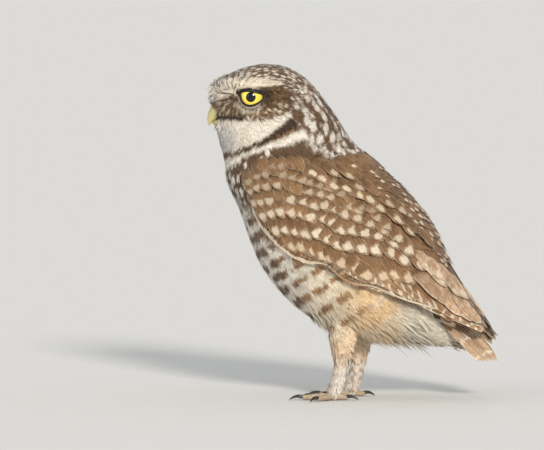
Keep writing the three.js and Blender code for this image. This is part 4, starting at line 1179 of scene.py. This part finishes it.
def face_free(p):
    """Where the face carries feathers: off the eye's opening, its rim and the bill."""
    gx, gy = seen(p)
    near = near_line(gx, gy, LID_LOOP)
    ok = (inside(gx, gy, LIDS_SEEN, 0.5) < 0.5) & (near > 3.0) & (near_line(gx, gy, MOUTH) > 1.3)
    x, y = grid_of(p)
    bill = (x < 220) & (y > 101) & (y < 124) & (np.abs(p[..., 1]) < 4.0)
    return ok & ~bill


BILL_LINE = [[213, 107], [217, 119]]  # where the side of the bill meets the face


def wisp_shape(rows, full=0.3):
    return np.sin(np.pi * (full + (0.98 - full) * np.linspace(0, 1, rows))) ** 0.8


def build_head_feathers(name, hand):
    coat = Plumes(4, 3)
    size = lambda p: ramp(seen(p)[0], 268, 300) + ramp(seen(p)[1], 140, 165)
    spacing = lambda p: 1.2 + 0.55 * np.minimum(size(p), 1.2)
    keep = lambda p: face_free(p) & (neck_level(*seen(p)) < 174)
    u, a = trunk.scatter(spacing, 0.05, 8.6, 0.0, np.pi, hand, keep)
    p = trunk.at(u, a, hand)
    big = np.minimum(size(p), 1.2)
    tiny = np.exp(-((near_line(*seen(p), LID_LOOP) - 3) / 7) ** 2)
    tiny = np.maximum(tiny, np.exp(-(near_line(*seen(p), BILL_LINE) / 7) ** 2))
    lay(coat, trunk, u, a, hand, coat_lie, (4.6 + 2.2 * big - 2.2 * tiny, 0.15),
        (0.85 + 0.6 * big - 0.3 * tiny, 0.15), (0.3 + 0.2 * big - 0.15 * tiny, 0.3),
        painted(coat_colour, WHITE * 0.92, body_kind, 0.08), thick=0.07, jag=0.14, point=0.32,
        soft=0.55)
    coat.build(f"head_plumage_{name}", MATS["feather"], "head_feathers")

    hair = Plumes(4, 3)
    face = lambda p: face_free(p) & (inside(*seen(p), BROW + EARS[3:8] + [[291, 118], [270, 136], [240, 152],
                                            [214, 154], [204, 124]], 4) > 0.4)
    u, a = trunk.scatter(0.95, 0.3, 7.6, 0.0, 2.6, hand, face)
    p = trunk.at(u, a, hand)
    gx, gy = seen(p)
    tiny = np.exp(-((near_line(gx, gy, LID_LOOP) - 3) / 6) ** 2)
    ray = inside(gx, gy, LORES, 3)
    smooth = inside(gx, gy, CHEEK, 3)
    dark = 0.62 * (rng.random(len(gx)) < 0.42 * inside(gx, gy, BROW, 3) * (1 - ramp(gx, 236, 250)))
    streaked = lambda q: coat_colour(q) * (1 - dark[:, None, None, None])
    lip = np.exp(-(near_line(gx, gy + 4.5, MOUTH) / 5) ** 2)
    lip = np.maximum(lip, np.exp(-(near_line(gx, gy, BILL_LINE) / 7) ** 2))
    ruffled = (1 - ramp(gx, 212, 224)) * (1 - ramp(gy, 96, 102))
    lay(hair, trunk, u, a, hand, coat_lie, (5.2 + 1.6 * ray - 3.0 * np.maximum(tiny, lip), 0.2),
        (0.3, 0.2), (0.75 + 0.25 * ray - 0.4 * np.maximum(tiny, smooth), 0.35),
        painted(streaked, WHITE, body_kind, 0.18, 0.8), thick=0.05, jag=0.1, point=0.1, soft=0.6,
        rise=lambda p, n: 0.03 + 0.4 * ruffled * rng.random(len(p)), shape=wisp_shape(4))
    hair.build(f"face_hairs_{name}", MATS["feather"], "head_feathers")


def build_bristles():
    """Long fine bristles from in front of the eye round the bill, and short soft ones on the chin."""
    rows, bristles, short = 8, 56, 60
    hair = Plumes(rows, 3)
    s = np.linspace(0, 1, rows)[:, None]

    def grow(hand, u, a, line, width, tint, dark, ends):
        hair.add(line, *vane_axes(line, [0, hand, 0.2]), width, 0.05, tint, WHITE, kind_of(dark),
                 root_place(trunk, u, a, hand), shape=np.linspace(*ends, rows), jag=0, point=0, cup=0)

    for hand in HANDS.values():
        n = bristles
        f = rng.random(n)
        gx, gy = 235 - 16 * rng.random(n), 91 + 22 * f + 1.5 * rng.normal(size=n)
        u, a = find_seen(trunk, gx, gy)
        p = trunk.at(u, a, hand)
        reach = 8 + 10 * rng.random(n) * (1 - 0.5 * f)
        aim = np.radians(-22 + 85 * f + 10 * rng.normal(size=n))
        far = np.stack([gx - reach * np.cos(aim), gy + reach * np.sin(aim)], -1)
        # Those that reach lower stay behind the bill's side and above its tip.
        behind = np.maximum(far[:, 0], 214 + 4 * rng.random(n))
        far[:, 0] = np.where(far[:, 1] > 103, behind, far[:, 0])
        far[:, 1] = np.minimum(far[:, 1], 117 - 2 * rng.random(n))
        x, z = side(far[:, 0], far[:, 1])
        end = np.stack([x, hand * (5.0 + 5.0 * rng.random(n)), z], -1)
        mid = (p + end) / 2 + np.array([0, hand * 1.5, 0.8]) + trunk.normal(u, a, hand) * 1.0
        line = (1 - s) ** 2 * p[:, None] + 2 * s * (1 - s) * mid[:, None] + s ** 2 * end[:, None]
        tint = np.where((rng.random(n) < 0.5)[:, None], CREAM * 0.85, UMBER * 0.6)
        grow(hand, u, a, line, varied(0.12, 0.25, n), tint, 0.2, (1.3, 0.2))

        n = short
        gx, gy = 219 + 7 * rng.random(n), 118.5 + 8 * rng.random(n)
        u, a = find_seen(trunk, gx, gy)
        x, z = side(gx - 3 - 3.5 * rng.random(n), gy + 2 + 3 * rng.random(n))
        end = np.stack([x, hand * (3.2 + 2.2 * rng.random(n)), z], -1)
        line = (1 - s) * trunk.at(u, a, hand)[:, None] + s * end[:, None]
        grow(hand, u, a, line, varied(0.4, 0.2, n), WHITE * 0.9, 0.1, (1.2, 0.3))
    hair.build("bristles", MATS["feather"], "head_feathers")


def off_wing(p):
    gx, gy = seen(p)
    wing = WING_EDGE[1:] + [[478, 312], [440, 258], [403, 200], [372, 168], [300, 172], [262, 182]]
    return inside(gx, gy, wing, 2) < 0.5


def build_body_feathers(name, hand):
    body = Plumes(7, 4)
    spacing = lambda p: 2.5 + 0.4 * ramp(seen(p)[1], 180, 240)

    def keep(p):
        gx, gy = seen(p)
        rear = (gx > 420) & (gy < tail_line(gx) + 5)
        return off_wing(p) & (neck_level(gx, gy) > 166) & ~rear

    u, a = trunk.scatter(spacing, 6.6, trunk.last - 0.6, 0.0, np.pi, hand, keep)
    gx, gy = seen(trunk.at(u, a, hand))
    low = ramp(gy, 255, 320)
    lay(body, trunk, u, a, hand, coat_lie, (9.5 + 3.5 * low, 0.14),
        (3.0 + 0.3 * low, 0.14), (0.7, 0.3),
        painted(coat_colour, SPOT, body_kind, 0.05), thick=0.12, jag=0.12, point=0.35, soft=0.7)
    body.build(f"body_plumage_{name}", MATS["feather"], "body_feathers")

    down = Plumes(4, 3)
    u, a = trunk.scatter(1.75, 6.8, trunk.last - 0.6, 0.0, np.pi, hand, keep)
    lay(down, trunk, u, a, hand, coat_lie, (6.5, 0.2), (0.42, 0.2),
        (1.15, 0.3), painted(coat_colour, WHITE, body_kind, 0.07), thick=0.06,
        jag=0.1, point=0.1, soft=0.7, shape=wisp_shape(4))
    down.build(f"body_down_{name}", MATS["feather"], "body_feathers")


def round_shape(rows, a=0.12, b=0.66, k=0.6):
    return np.sin(np.pi * (a + b * np.linspace(0, 1, rows))) ** k


def tier(plumes, hand, tips, count, reach, aim, width, lifts, tint, mark, kind, loose, roll=0.12,
         rise=2.4, vary=0.08, turn=3.5, bare=0.0):
    """A row of overlapping feathers: tips along a line in the picture, reach pixels long, and
    aimed at degrees below level, first and last given where they change along the row. kind
    holds how strong the spot and the bars are, bare the share of feathers without them."""
    ends = smooth_rows(np.array(tips, float), np.linspace(0, len(tips) - 1, count))
    ends = ends + loose * rng.normal(size=ends.shape) * (0.7, 0.7)
    f = np.linspace(0, 1, count)
    angle = np.radians(aim[0] + (aim[1] - aim[0]) * f + turn * rng.normal(size=count))
    long = (reach[0] + (reach[1] - reach[0]) * f) * (1 + 0.05 * rng.normal(size=count))
    roots = ends - np.stack([np.cos(angle), np.sin(angle)], -1) * long[:, None]
    u0, a0 = find_seen(wrap, roots[:, 0], roots[:, 1])
    u1, a1 = find_seen(wrap, ends[:, 0], ends[:, 1])
    rows = plumes.rows
    s = np.linspace(0, 1, rows)
    u, a = u0[:, None] + (u1 - u0)[:, None] * s, a0[:, None] + (a1 - a0)[:, None] * s
    n = wrap.normal(u, a, hand)
    up = lifts[0] + (lifts[1] + 0.15 * rng.normal(size=count) - lifts[0])[:, None] * np.minimum(1, s * rise)
    line = wrap.at(u, a, hand) + n * up[..., None]
    w = np.interp(f, [0, 1], width) * (1 + 0.05 * rng.normal(size=count))
    k = 1 + vary * rng.normal(size=(count, 1))
    kd = kind_of(0.55, *kind) * np.ones((count, 1))
    kd[:, :3] *= (0.8 + 0.2 * rng.random((count, 1))) * (rng.random((count, 1)) >= bare)
    plumes.add(line, *vane_axes(line, n, hand * roll), w, 0.16, np.clip(np.asarray(tint) * k, 0, 1),
               mark, kd, root_place(wrap, u0, a0, hand), 0.02, shape=round_shape(rows), jag=0.04,
               point=0.25, cup=0.1, base=n[:, rows // 2], soft=0.25, mirror=hand > 0)


# Feathers of the right wing that show beyond the left one's inner edge: first and last place in
# the picture, mm from the bird's middle, half width and colour.
# The second's dark brown is painted shade: the far wing's feathers lie deep in the gap there.
INNER_EDGE = [
    ((451.5, 266), (488.5, 316), 0.6, 2.3, rgb(214, 190, 164)),
    ((456, 274), (500, 338), 2.0, 4.6, rgb(80, 58, 40)),
    ((452, 278), (496, 342), 3.4, 4.6, rgb(132, 100, 72)),
]


def build_flight(name, hand):
    """Primaries and tertials, each row over the roots of the row behind it."""
    flight = Plumes(14, 7)
    near = [[370, 284], [390, 292], [412, 299], [440, 309]]
    far = [[466, 321], [482.5, 330.5]] if hand < 0 else [[476, 328], [499, 339]]
    tier(flight, hand, near + far, 8, (44, 95), (30, 28.5), (2.5, 2.8), (-0.4, 0.5), rgb(186, 150, 114),
         WHITE * 0.95, (0, 0.9), 0.5, roll=0.22, rise=3, vary=0.06, turn=0.6)
    if hand > 0:
        # The right wing's primary tips beyond the left wing are dark brown: painted shade, as they lie deep
        # on the far side.
        tier(flight, hand, [[487, 340], [494, 341]], 2, (60, 60), (42, 42), (3.2, 3.4), (-0.6, 0.5),
             rgb(96, 70, 50), BUFF * 0.7, (0, 0.2), 0.4, turn=1.5)
        t = np.linspace(0, 1, 14)
        for m, ((x0, y0), (x1, y1), out, half, colour) in enumerate(INNER_EDGE):
            x, z = side(x0 + (x1 - x0) * t - 3.6, y0 + (y1 - y0) * t - 2.2 * np.sin(np.pi * t) + 2.6)
            line = np.stack([x, out + 0 * t, z], -1)[None]
            flight.add(line, *vane_axes(line, [0.5, -0.6, 0.6]), np.array([half]), 0.2, colour,
                       CREAM * 0.8, kind_of(0.3, bars=0.15), np.array([[0.74 + 0.05 * m, 0.45]]), 0.02,
                       shape=round_shape(14), jag=0.03, point=0.45)
    tier(flight, hand, [[372, 279], [400, 290], [430, 302], [476, 325]], 11, (56, 76), (34, 38),
         (3.4, 4.0), (-0.3, 1.0), rgb(164, 128, 94), CREAM * 0.9, (0, 0.75), 0.8, roll=0.18, rise=3,
         vary=0.06, turn=1.5)
    tier(flight, hand, [[442, 297], [454, 307], [466, 316], [479, 323]], 6, (44, 56), (44, 50),
         (5.4, 5.6), (-0.2, 2.4), rgb(204, 174, 145), BROWN, (0, 0.5), 0.6, roll=0.2, rise=3, turn=1.5)
    tier(flight, hand, [[430, 272], [440, 280], [452, 290], [464, 301]], 7, (30, 40), (48, 54),
         (4.6, 5.0), (0.0, 2.9), rgb(192, 162, 132), CREAM * 0.9, (0.7, 0.3), 0.8, roll=0.15, rise=3,
         turn=3)
    flight.build(f"flight_feathers_{name}", MATS["flight"], "wing_feathers")


# Rows of coverts from the lowest up: tips, count, reach, aim, half width, lift of the tip, the
# feathers' share of BROWN, the spots' colour, and how strong the spots are.
COVERT_ROWS = [
    ([[298, 250], [316, 256], [332, 263], [350, 270], [372, 280], [396, 281], [418, 283], [440, 286]],
     13, (30, 36), (58, 46), (4.9, 5.2), 1.5, 1.02, WARM_SPOT, 0.8),
    ([[281, 236], [300, 237], [319, 240], [340, 248], [358, 252], [384, 258], [410, 266], [436, 274]],
     14, (28, 32), (64, 50), (4.9, 5.2), 2.0, 1, SPOT, 1.0),
    ([[268, 221], [284, 218], [302, 221], [324, 224], [340, 231], [358, 237], [384, 243], [412, 256]],
     14, (26, 28), (68, 52), (4.6, 5.0), 2.3, 0.96, SPOT, 0.9),
    ([[260, 208], [274, 205], [294, 206], [312, 211], [332, 214], [352, 221], [374, 230], [398, 244]],
     14, (22, 24), (70, 54), (4.2, 4.6), 2.5, 0.95, SPOT * 0.95, 0.75),
    ([[256, 196], [270, 191], [290, 192], [308, 197], [328, 202], [346, 209], [364, 217], [388, 232]],
     14, (20, 22), (70, 54), (3.8, 4.4), 2.6, 0.94, SPOT * 0.92, 0.6),
    ([[254, 186], [268, 180], [286, 180], [302, 184], [318, 189], [336, 196], [354, 206], [374, 216]],
     14, (18, 20), (68, 50), (3.6, 4.2), 2.6, 0.92, SPOT * 0.85, 0.45),
    ([[262, 176], [276, 170], [292, 171], [308, 176], [322, 181], [338, 189], [356, 199]],
     12, (18, 20), (64, 48), (3.6, 4.2), 2.7, 0.9, SPOT * 0.8, 0.35),
]


def build_coverts(name, hand):
    """Coverts, each row over the roots of the one behind it, and a plain layer beneath."""
    cover = Plumes(9, 7)
    # Primary coverts and the thumb's feathers, dark along the lower edge.
    tier(cover, hand, [[340, 272], [362, 280], [386, 287]], 6, (34, 36), (36, 26), (2.6, 3.0),
         (-0.3, 0.9), UMBER, WARM_SPOT, (0.25, 0.2), 0.6, turn=2)
    tier(cover, hand, [[316, 257], [330, 263], [342, 270]], 4, (26, 28), (44, 36), (3.0, 3.2),
         (-0.3, 1.3), UMBER * 1.05, WARM_SPOT, (0.3, 0.1), 0.6, turn=2)
    for tips, count, reach, aim, width, lift, brown, mark, spots in COVERT_ROWS:
        tier(cover, hand, tips, count, reach, aim, width, (0.1, lift), BROWN * brown, mark, (spots, 0),
             1.3, bare=0.75 - spots if spots < 0.7 else 0.05)
    cover.build(f"wing_coverts_{name}", MATS["covert"], "wing_feathers")

    # The layer beneath closes the gaps between the rows.
    under = Plumes(5, 5)

    def on_wing(p):
        gx, gy = seen(p)
        return (gx < 440) & ((~off_wing(p) & ~off_wing(p + (5, 0, -6))) | ((gx > 335) & (gy < 200)))

    u, a = wrap.scatter(4.2, 0.1, 9.0, 0.2, np.pi, hand, on_wing)
    lay(under, wrap, u, a, hand, coat_lie, (12, 0.1), (3.6, 0.1), (1.3, 0.1),
        painted(plain(BROWN * 0.9), SPOT, kind_of(0.4), 0.1), thick=0.1, jag=0.15, soft=0.4)
    under.build(f"wing_under_{name}", MATS["feather"], "wing_feathers")


def plain(colour):
    """One colour wherever it is asked for."""
    return lambda q: np.broadcast_to(colour, q.shape)


def roof(piece, hand, spacing, reach, keep, sizes, colour, mark, kind, vary, material):
    """Large feathers over the back, the hind ones first, sized and lifted by sizes(u, points)."""
    plumes = Plumes(8, 7)
    u, a = wrap.scatter(spacing, *reach, np.pi, hand, keep)
    order = np.argsort(-u)
    u, a = u[order], a[order]
    length, width, lift = sizes(u, wrap.at(u, a, hand))
    lay(plumes, wrap, u, a, hand, coat_lie, varied(length, 0.1, len(u)), varied(width, 0.1, len(u)),
        lift + 0.2 * rng.normal(size=len(u)), painted(plain(colour), mark, kind, vary),
        thick=0.16, jag=0.05, point=0.28, soft=0.3, patch=0.02)
    plumes.build(piece, MATS[material], "wing_feathers")


MANTLE_EDGE = [[300, 160], [320, 172], [335, 181], [353, 188], [370, 196], [390, 208], [411, 226],
               [440, 255], [470, 290]]


def build_back(name, hand):
    """Mantle, the roof between the wings, and the lowest scapulars with large pale spots."""
    def above(p):
        gx, gy = seen(p)
        return (gy < np.interp(gx, *np.transpose(MANTLE_EDGE))) & (gx > 296) & (gy < 252)

    def mantle_sizes(u, p):
        gy = seen(p)[1]
        fore = 1 - ramp(u, 1.0, 5.0)
        return (15 - 3 * fore - 3 * ramp(gy, 225, 252), 4.3 - 0.7 * fore,
                2.9 - 1.1 * ramp(u, 6, 9.5) - 1.2 * fore - 1.6 * ramp(gy, 212, 246))

    def mantle_kind(p):
        gx = seen(p)[0]
        spot = (rng.random(len(p)) < 0.35 + 0.4 * ramp(gx, 380, 400)) * (0.6 + 0.4 * rng.random(len(p)))
        return np.column_stack([spot, 0 * gx, 0 * gx, 0 * gx + 0.5])

    roof(f"mantle_{name}", hand, 5.0, (0.15, 9.6, 1.2), above, mantle_sizes, BROWN * 0.86, SPOT,
         mantle_kind, 0.09, "mantle")
    # Between the wings, the right wing's inner feathers lie over those of the left.
    # The left ones are a darker brown than the right's pale tan: painted shade, as they lie lower in the
    # gap.
    lift, shade = (-0.3, rgb(176, 146, 118)) if hand > 0 else (-1.3, BROWN * 0.7)
    between = lambda p: (seen(p)[1] > 243) & (seen(p)[1] < 308)
    roof(f"wing_inner_{name}", hand, 4.6, (5.0, 11.1, 2.0), between, lambda u, p: (17, 4.2, lift),
         shade, CREAM * 0.85, kind_of(0.5, spot=0.3), 0.08, "covert")

    scapulars = Plumes(9, 7)
    tier(scapulars, hand, [[318, 180], [335, 190], [353, 197], [370, 205], [390, 218], [411, 238]], 9,
         (24, 26), (40, 50), (3.9, 4.4), (1.2, 3.0), BROWN * 0.9, rgb(198, 183, 156), (1.0, 0), 1.2,
         roll=0.1)
    tier(scapulars, hand, [[340, 180], [356, 188], [374, 197], [392, 211], [410, 228], [428, 250]], 8,
         (24, 26), (40, 52), (3.7, 4.2), (1.5, 3.3), BROWN * 0.88, rgb(186, 170, 144), (0.9, 0), 1.6,
         roll=0.1, bare=0.3)
    scapulars.build(f"scapulars_{name}", MATS["scapular"], "wing_feathers")


# Rows along the wing's front edge: count, where on WING_EDGE it ends, grid steps in from the
# edge, and the share of light feathers.
EDGE_ROWS = [(50, 5.0, 11, 0.25), (54, 5.3, 7.5, 0.3), (60, 5.6, 4.0, 0.4), (90, 8.7, 0.5, 1.0)]


def build_wing_edge(name, hand):
    """Small mottled feathers that bind the wing's front edge, with a pale line along it."""
    rim = Plumes(5, 3)
    edge = np.array(WING_EDGE, float)
    for count, last, out, tone in EDGE_ROWS:
        pale = out < 1  # the outermost row is the pale line
        t = np.linspace(0, last, count)
        line = smooth_rows(edge, t)
        aim = np.gradient(line, axis=0)
        line = line + np.array([0.75, -0.66]) * out + (0.06 if pale else 0.8) * rng.normal(size=line.shape)
        u, a = find_seen(wrap, line[:, 0], line[:, 1])
        n = len(u)
        d = np.stack([aim[:, 0], np.zeros(n), -aim[:, 1]], -1)
        if pale:
            dull = np.exp(-((t - 5.7) / 0.9) ** 2)[:, None]
            tint = CREAM * (0.92 + 0.08 * rng.random((n, 1))) * (1 - dull) + TAN * 0.8 * dull
            length, width, lift, unruly = (8.5, 0.05), (0.55, 0.06), (1.8, 0.02), 0.0
        else:
            tint = BROWN * (0.75 + 0.3 * rng.random((n, 1)))
            tint = np.where(rng.random((n, 1)) < tone, TAN * 0.85, tint)
            length, width, lift, unruly = (7.0, 0.05), (1.5, 0.06), (1.5, 0.02), 0.06
        kind = kind_of(0.0 if pale else 0.3) * np.ones((n, 1))
        lay(rim, wrap, u, a, hand, lambda p, nn: d + unruly * rng.normal(size=d.shape), length, width,
            lift, lambda *place: (tint, CREAM * 0.85, kind), thick=0.1, soft=0.6 if pale else 0.4,
            jag=0.02 if pale else 0.08, point=0.2)
    rim.build(f"wing_edge_{name}", MATS["feather"], "wing_feathers")


# The tones alternate lighter and darker: painted shade that marks the steps where the folded feathers
# overlap.
TAIL_TONES = (1.05, 1.2, 0.95, 1.2, 0.95, 1.3)  # from the middle feather outwards


def build_tail():
    tail = Plumes(16, 9)
    top = np.array([[440, 299], [457, 313], [472, 327], [483, 339], [492, 350], [499.5, 362]], float)
    down = np.array([[430, 312], [446, 326], [460, 340], [472, 352], [481, 359.5], [489, 362.5]], float)
    t = np.linspace(0, 1, 16)
    for hand in HANDS.values():
        for i in range(6):
            k = (i + 0.75) / 6.2
            g = smooth_rows(top * (1 - k) + down * k, t * 5 * (1 - 0.025 * i))
            x, z = side(g[:, 0], g[:, 1])
            line = np.stack([x, hand * (1.3 + i * (2.8 - 0.7 * t)), z], -1)[None]
            n = unit(np.array([0.45, hand * 0.78, 0.5]))
            tail.add(line, *vane_axes(line, n, hand * 0.2), np.array([2.9]), 0.2,
                     rgb(196, 160, 124) * TAIL_TONES[i], CREAM, kind_of(0.3, bars=0.85),
                     np.array([[0.3 + 0.05 * i, 0.5 + 0.2 * hand]]), 0.04,
                     shape=round_shape(16, 0.25, 0.6, 0.6), jag=0.04, point=0.7, cup=0.04, mirror=hand > 0)
    tail.build("tail_feathers", MATS["tail"], "tail_feathers")


def leg_colour(p):
    z = p[..., 2]
    col = blend(np.broadcast_to(WHITE * 0.96, p.shape), rgb(238, 214, 184), ramp(z, 14, 34))
    col = blend(col, RUST * 0.9, 0.6 * ramp(wobble(p, 2.6, 3.0), 0.25, 0.6) * (1 - ramp(z, 24, 36)))
    return blend(col, coat_colour(p), ramp(z, 35, 43))


def build_fringe(name, hand):
    """Long soft feathers below the belly, on the flanks and under the tail."""
    soft = Plumes(6, 3)

    def keep(p):
        gx, gy = seen(p)
        edge = np.interp(gx, *np.transpose(WING_EDGE))
        return (gy > 296) & (gx > 306) & (gy > edge - 2) & (gy > tail_line(gx) + 7)

    def flow(p, n):
        rear = ramp(seen(p)[0], 375, 415)[:, None]
        d = np.array([0.62, 0, -0.8]) * (1 - rear) + np.array([0.73, 0, -0.68]) * rear
        return d + 0.1 * rng.normal(size=p.shape)

    def rise(p, n):
        return 0.03 + 0.35 * ramp(-n[:, 2], 0.35, 0.95) * (1 - ramp(seen(p)[0], 392, 415))

    u, a = trunk.scatter(1.7, 11.8, trunk.last - 0.3, 0.0, 2.2, hand, keep)
    gx, gy = seen(trunk.at(u, a, hand))
    # The low hanging wisps are blended towards cream: partly their own pale colour, partly painted light
    # against the shade they hang in.
    pale = ramp(gx, 318, 340) * ramp(gy, 308, 330) * (1 - ramp(gx, 380, 400))
    wisp = lambda q: blend(coat_colour(q), CREAM, 0.55 * pale[:, None, None])
    long = 1 + 0.7 * (rng.random(len(u)) < 0.1)  # one in ten is longer than the rest
    lay(soft, trunk, u, a, hand, flow, varied(8.0 + 3.5 * ramp(gx, 330, 420), 0.25, len(u)) * long,
        (0.85, 0.3), (0.8, 0.4), painted(wisp, WHITE, kind_of(0.1), 0.05, 0.9), rise=rise, thick=0.08,
        jag=0.2, point=0.1, soft=0.85, shape=wisp_shape(6))
    soft.build(f"soft_fringe_{name}", MATS["feather"], "body_feathers")


def build_leg_tufts(name, hand):
    """Short soft feathers down the legs, and thin hairs on top of the toes."""
    tufts = Plumes(6, 3)

    def down(p, n):
        fall = np.array([0.12, 0, -1.0]) + 0.2 * rng.normal(size=p.shape)
        return blend(fall, coat_lie(p, n), ramp(p[:, 2], 34, 44))

    thigh, shank = leg_parts(hand)
    for limb, u0, u1, long, wide, gap, lift in ((thigh, 0.3, 5.0, 7.0, 0.9, 1.2, 0.8),
                                                (shank, 0.2, 3.7, 4.2, 0.42, 0.85, 0.5)):
        u, a = limb.scatter(gap, u0, u1, 0, 2 * np.pi, 1)
        lay(tufts, limb, u, a, 1, down, (long, 0.25), (wide, 0.25), (lift, 0.5),
            painted(leg_colour, WHITE, kind_of(0.15), 0.07, 0.9), thick=0.06, jag=0.2, point=0.2,
            rise=lambda p, n: 0.03 + 0.05 * rng.random(len(p)), soft=0.85, shape=wisp_shape(6))
    for toe in TOES:
        limb = toe_parts(hand, toe)[0]
        u, a = limb.scatter(1.5, 0.0, 8.0, 0.3, np.pi - 0.3, 1)
        d = limb.rows[-1, :3] - limb.rows[0, :3]
        lay(tufts, limb, u, a, 1, lambda p, n: d + 0.15 * np.linalg.norm(d) * rng.normal(size=p.shape),
            (2.0, 0.25), (0.16, 0.2), (0.2, 0.2), painted(leg_colour, WHITE, kind_of(0.1), 0.1),
            thick=0.05, jag=0, point=0.1, soft=0.3)
    tufts.build(f"leg_tufts_{name}", MATS["feather"], "body_feathers")


MATS = {
    "feather": feather_material("feather_small", patchy=0.35),
    "covert": feather_material("feather_covert", fringe=0.25, rough=0.8),
    "mantle": feather_material("feather_mantle", fringe=0.15, rough=0.8, spot=(0.42, 0.17, 0.78, 0.13)),
    "scapular": feather_material("feather_scapular", fringe=0.25, rough=0.9, spot=(0.42, 0.24, 0.72, 0.19)),
    "flight": feather_material("feather_flight", bars=6.0, notch=True, fringe=0.5, rough=0.7),
    "tail": feather_material("feather_tail", bars=2.8, duty=0.75, fringe=0.7, rough=0.6, drift=1.5,
                             lines=3.2),
    "bill": horn_material("bill_horn", rgb(158, 150, 96), rgb(198, 192, 134), 0.4),
    "claw": horn_material("claw_horn", (0.05, 0.04, 0.032), (0.012, 0.01, 0.009), 0.3),
    "eye": eye_material("eye"),
    "lid": tinted_material("lid", 0.5, 1200.0),
}

build_skin()
build_bill()
build_claws()
for _name, _hand in HANDS.items():
    build_eye(_name, _hand)
    build_lids(_name, _hand)
    build_head_feathers(_name, _hand)
    build_body_feathers(_name, _hand)
    build_flight(_name, _hand)
    build_coverts(_name, _hand)
    build_back(_name, _hand)
    build_wing_edge(_name, _hand)
build_bristles()
build_tail()
for _name, _hand in HANDS.items():
    build_fringe(_name, _hand)
    build_leg_tufts(_name, _hand)


# Floor, light and camera
def build_stage():
    half = 60.0  # m
    floor = bpy.data.meshes.new("floor")
    corners = [(-half, -half, 0), (half, -half, 0), (half, half, 0), (-half, half, 0)]
    floor.from_pydata(corners, [], [(0, 1, 2, 3)])
    ob = bpy.data.objects.new("floor", floor)
    bpy.context.scene.collection.objects.link(ob)
    t = Tree("floor", 0.9, Specular_IOR_Level=0.1)
    t.set("Base Color", t.mix(t.noise(60.0), (0.70, 0.69, 0.665), (0.74, 0.73, 0.705)))
    ob.data.materials.append(t.mat)


def sun(name, towards, strength, degrees, colour):
    data = bpy.data.lights.new(name, "SUN")
    data.energy, data.angle, data.color = strength, math.radians(degrees), colour
    ob = bpy.data.objects.new(name, data)
    ob.rotation_euler = Vector(towards).to_track_quat("-Z", "Y").to_euler()
    bpy.context.scene.collection.objects.link(ob)


build_stage()
sun("key", (-0.2, 0.88, -0.38), 3.0, 10, (1.0, 0.95, 0.87))
sun("fill", (0.85, 0.4, -0.2), 0.75, 50, (1.0, 0.97, 0.93))
world = bpy.data.worlds.new("sky")
world.use_nodes = True
sky = world.node_tree.nodes["Background"].inputs
sky["Color"].default_value = (0.93, 0.96, 1.0, 1)
sky["Strength"].default_value = 0.62
bpy.context.scene.world = world
bpy.context.scene.view_settings.view_transform = "Standard"

# The camera looks from the bird's left, a little from above, from far off.
CAMERA_AWAY = 4.0
look = Vector(((WIDE / 2 - MIDDLE) * GRID / 1000 + SHIFT / 1000, 0, LOOK_Z / 1000))
cam = bpy.data.cameras.new("camera")
cam.lens = 36 * CAMERA_AWAY / (WIDE * GRID / 1000)
cam_ob = bpy.data.objects.new("camera", cam)
cam_ob.location = look + Vector((0, -math.cos(CAMERA_UP), math.sin(CAMERA_UP))) * CAMERA_AWAY
cam_ob.rotation_euler = (look - cam_ob.location).to_track_quat("-Z", "Y").to_euler()
bpy.context.scene.collection.objects.link(cam_ob)
bpy.context.scene.camera = cam_ob

bpy.context.view_layer.update()
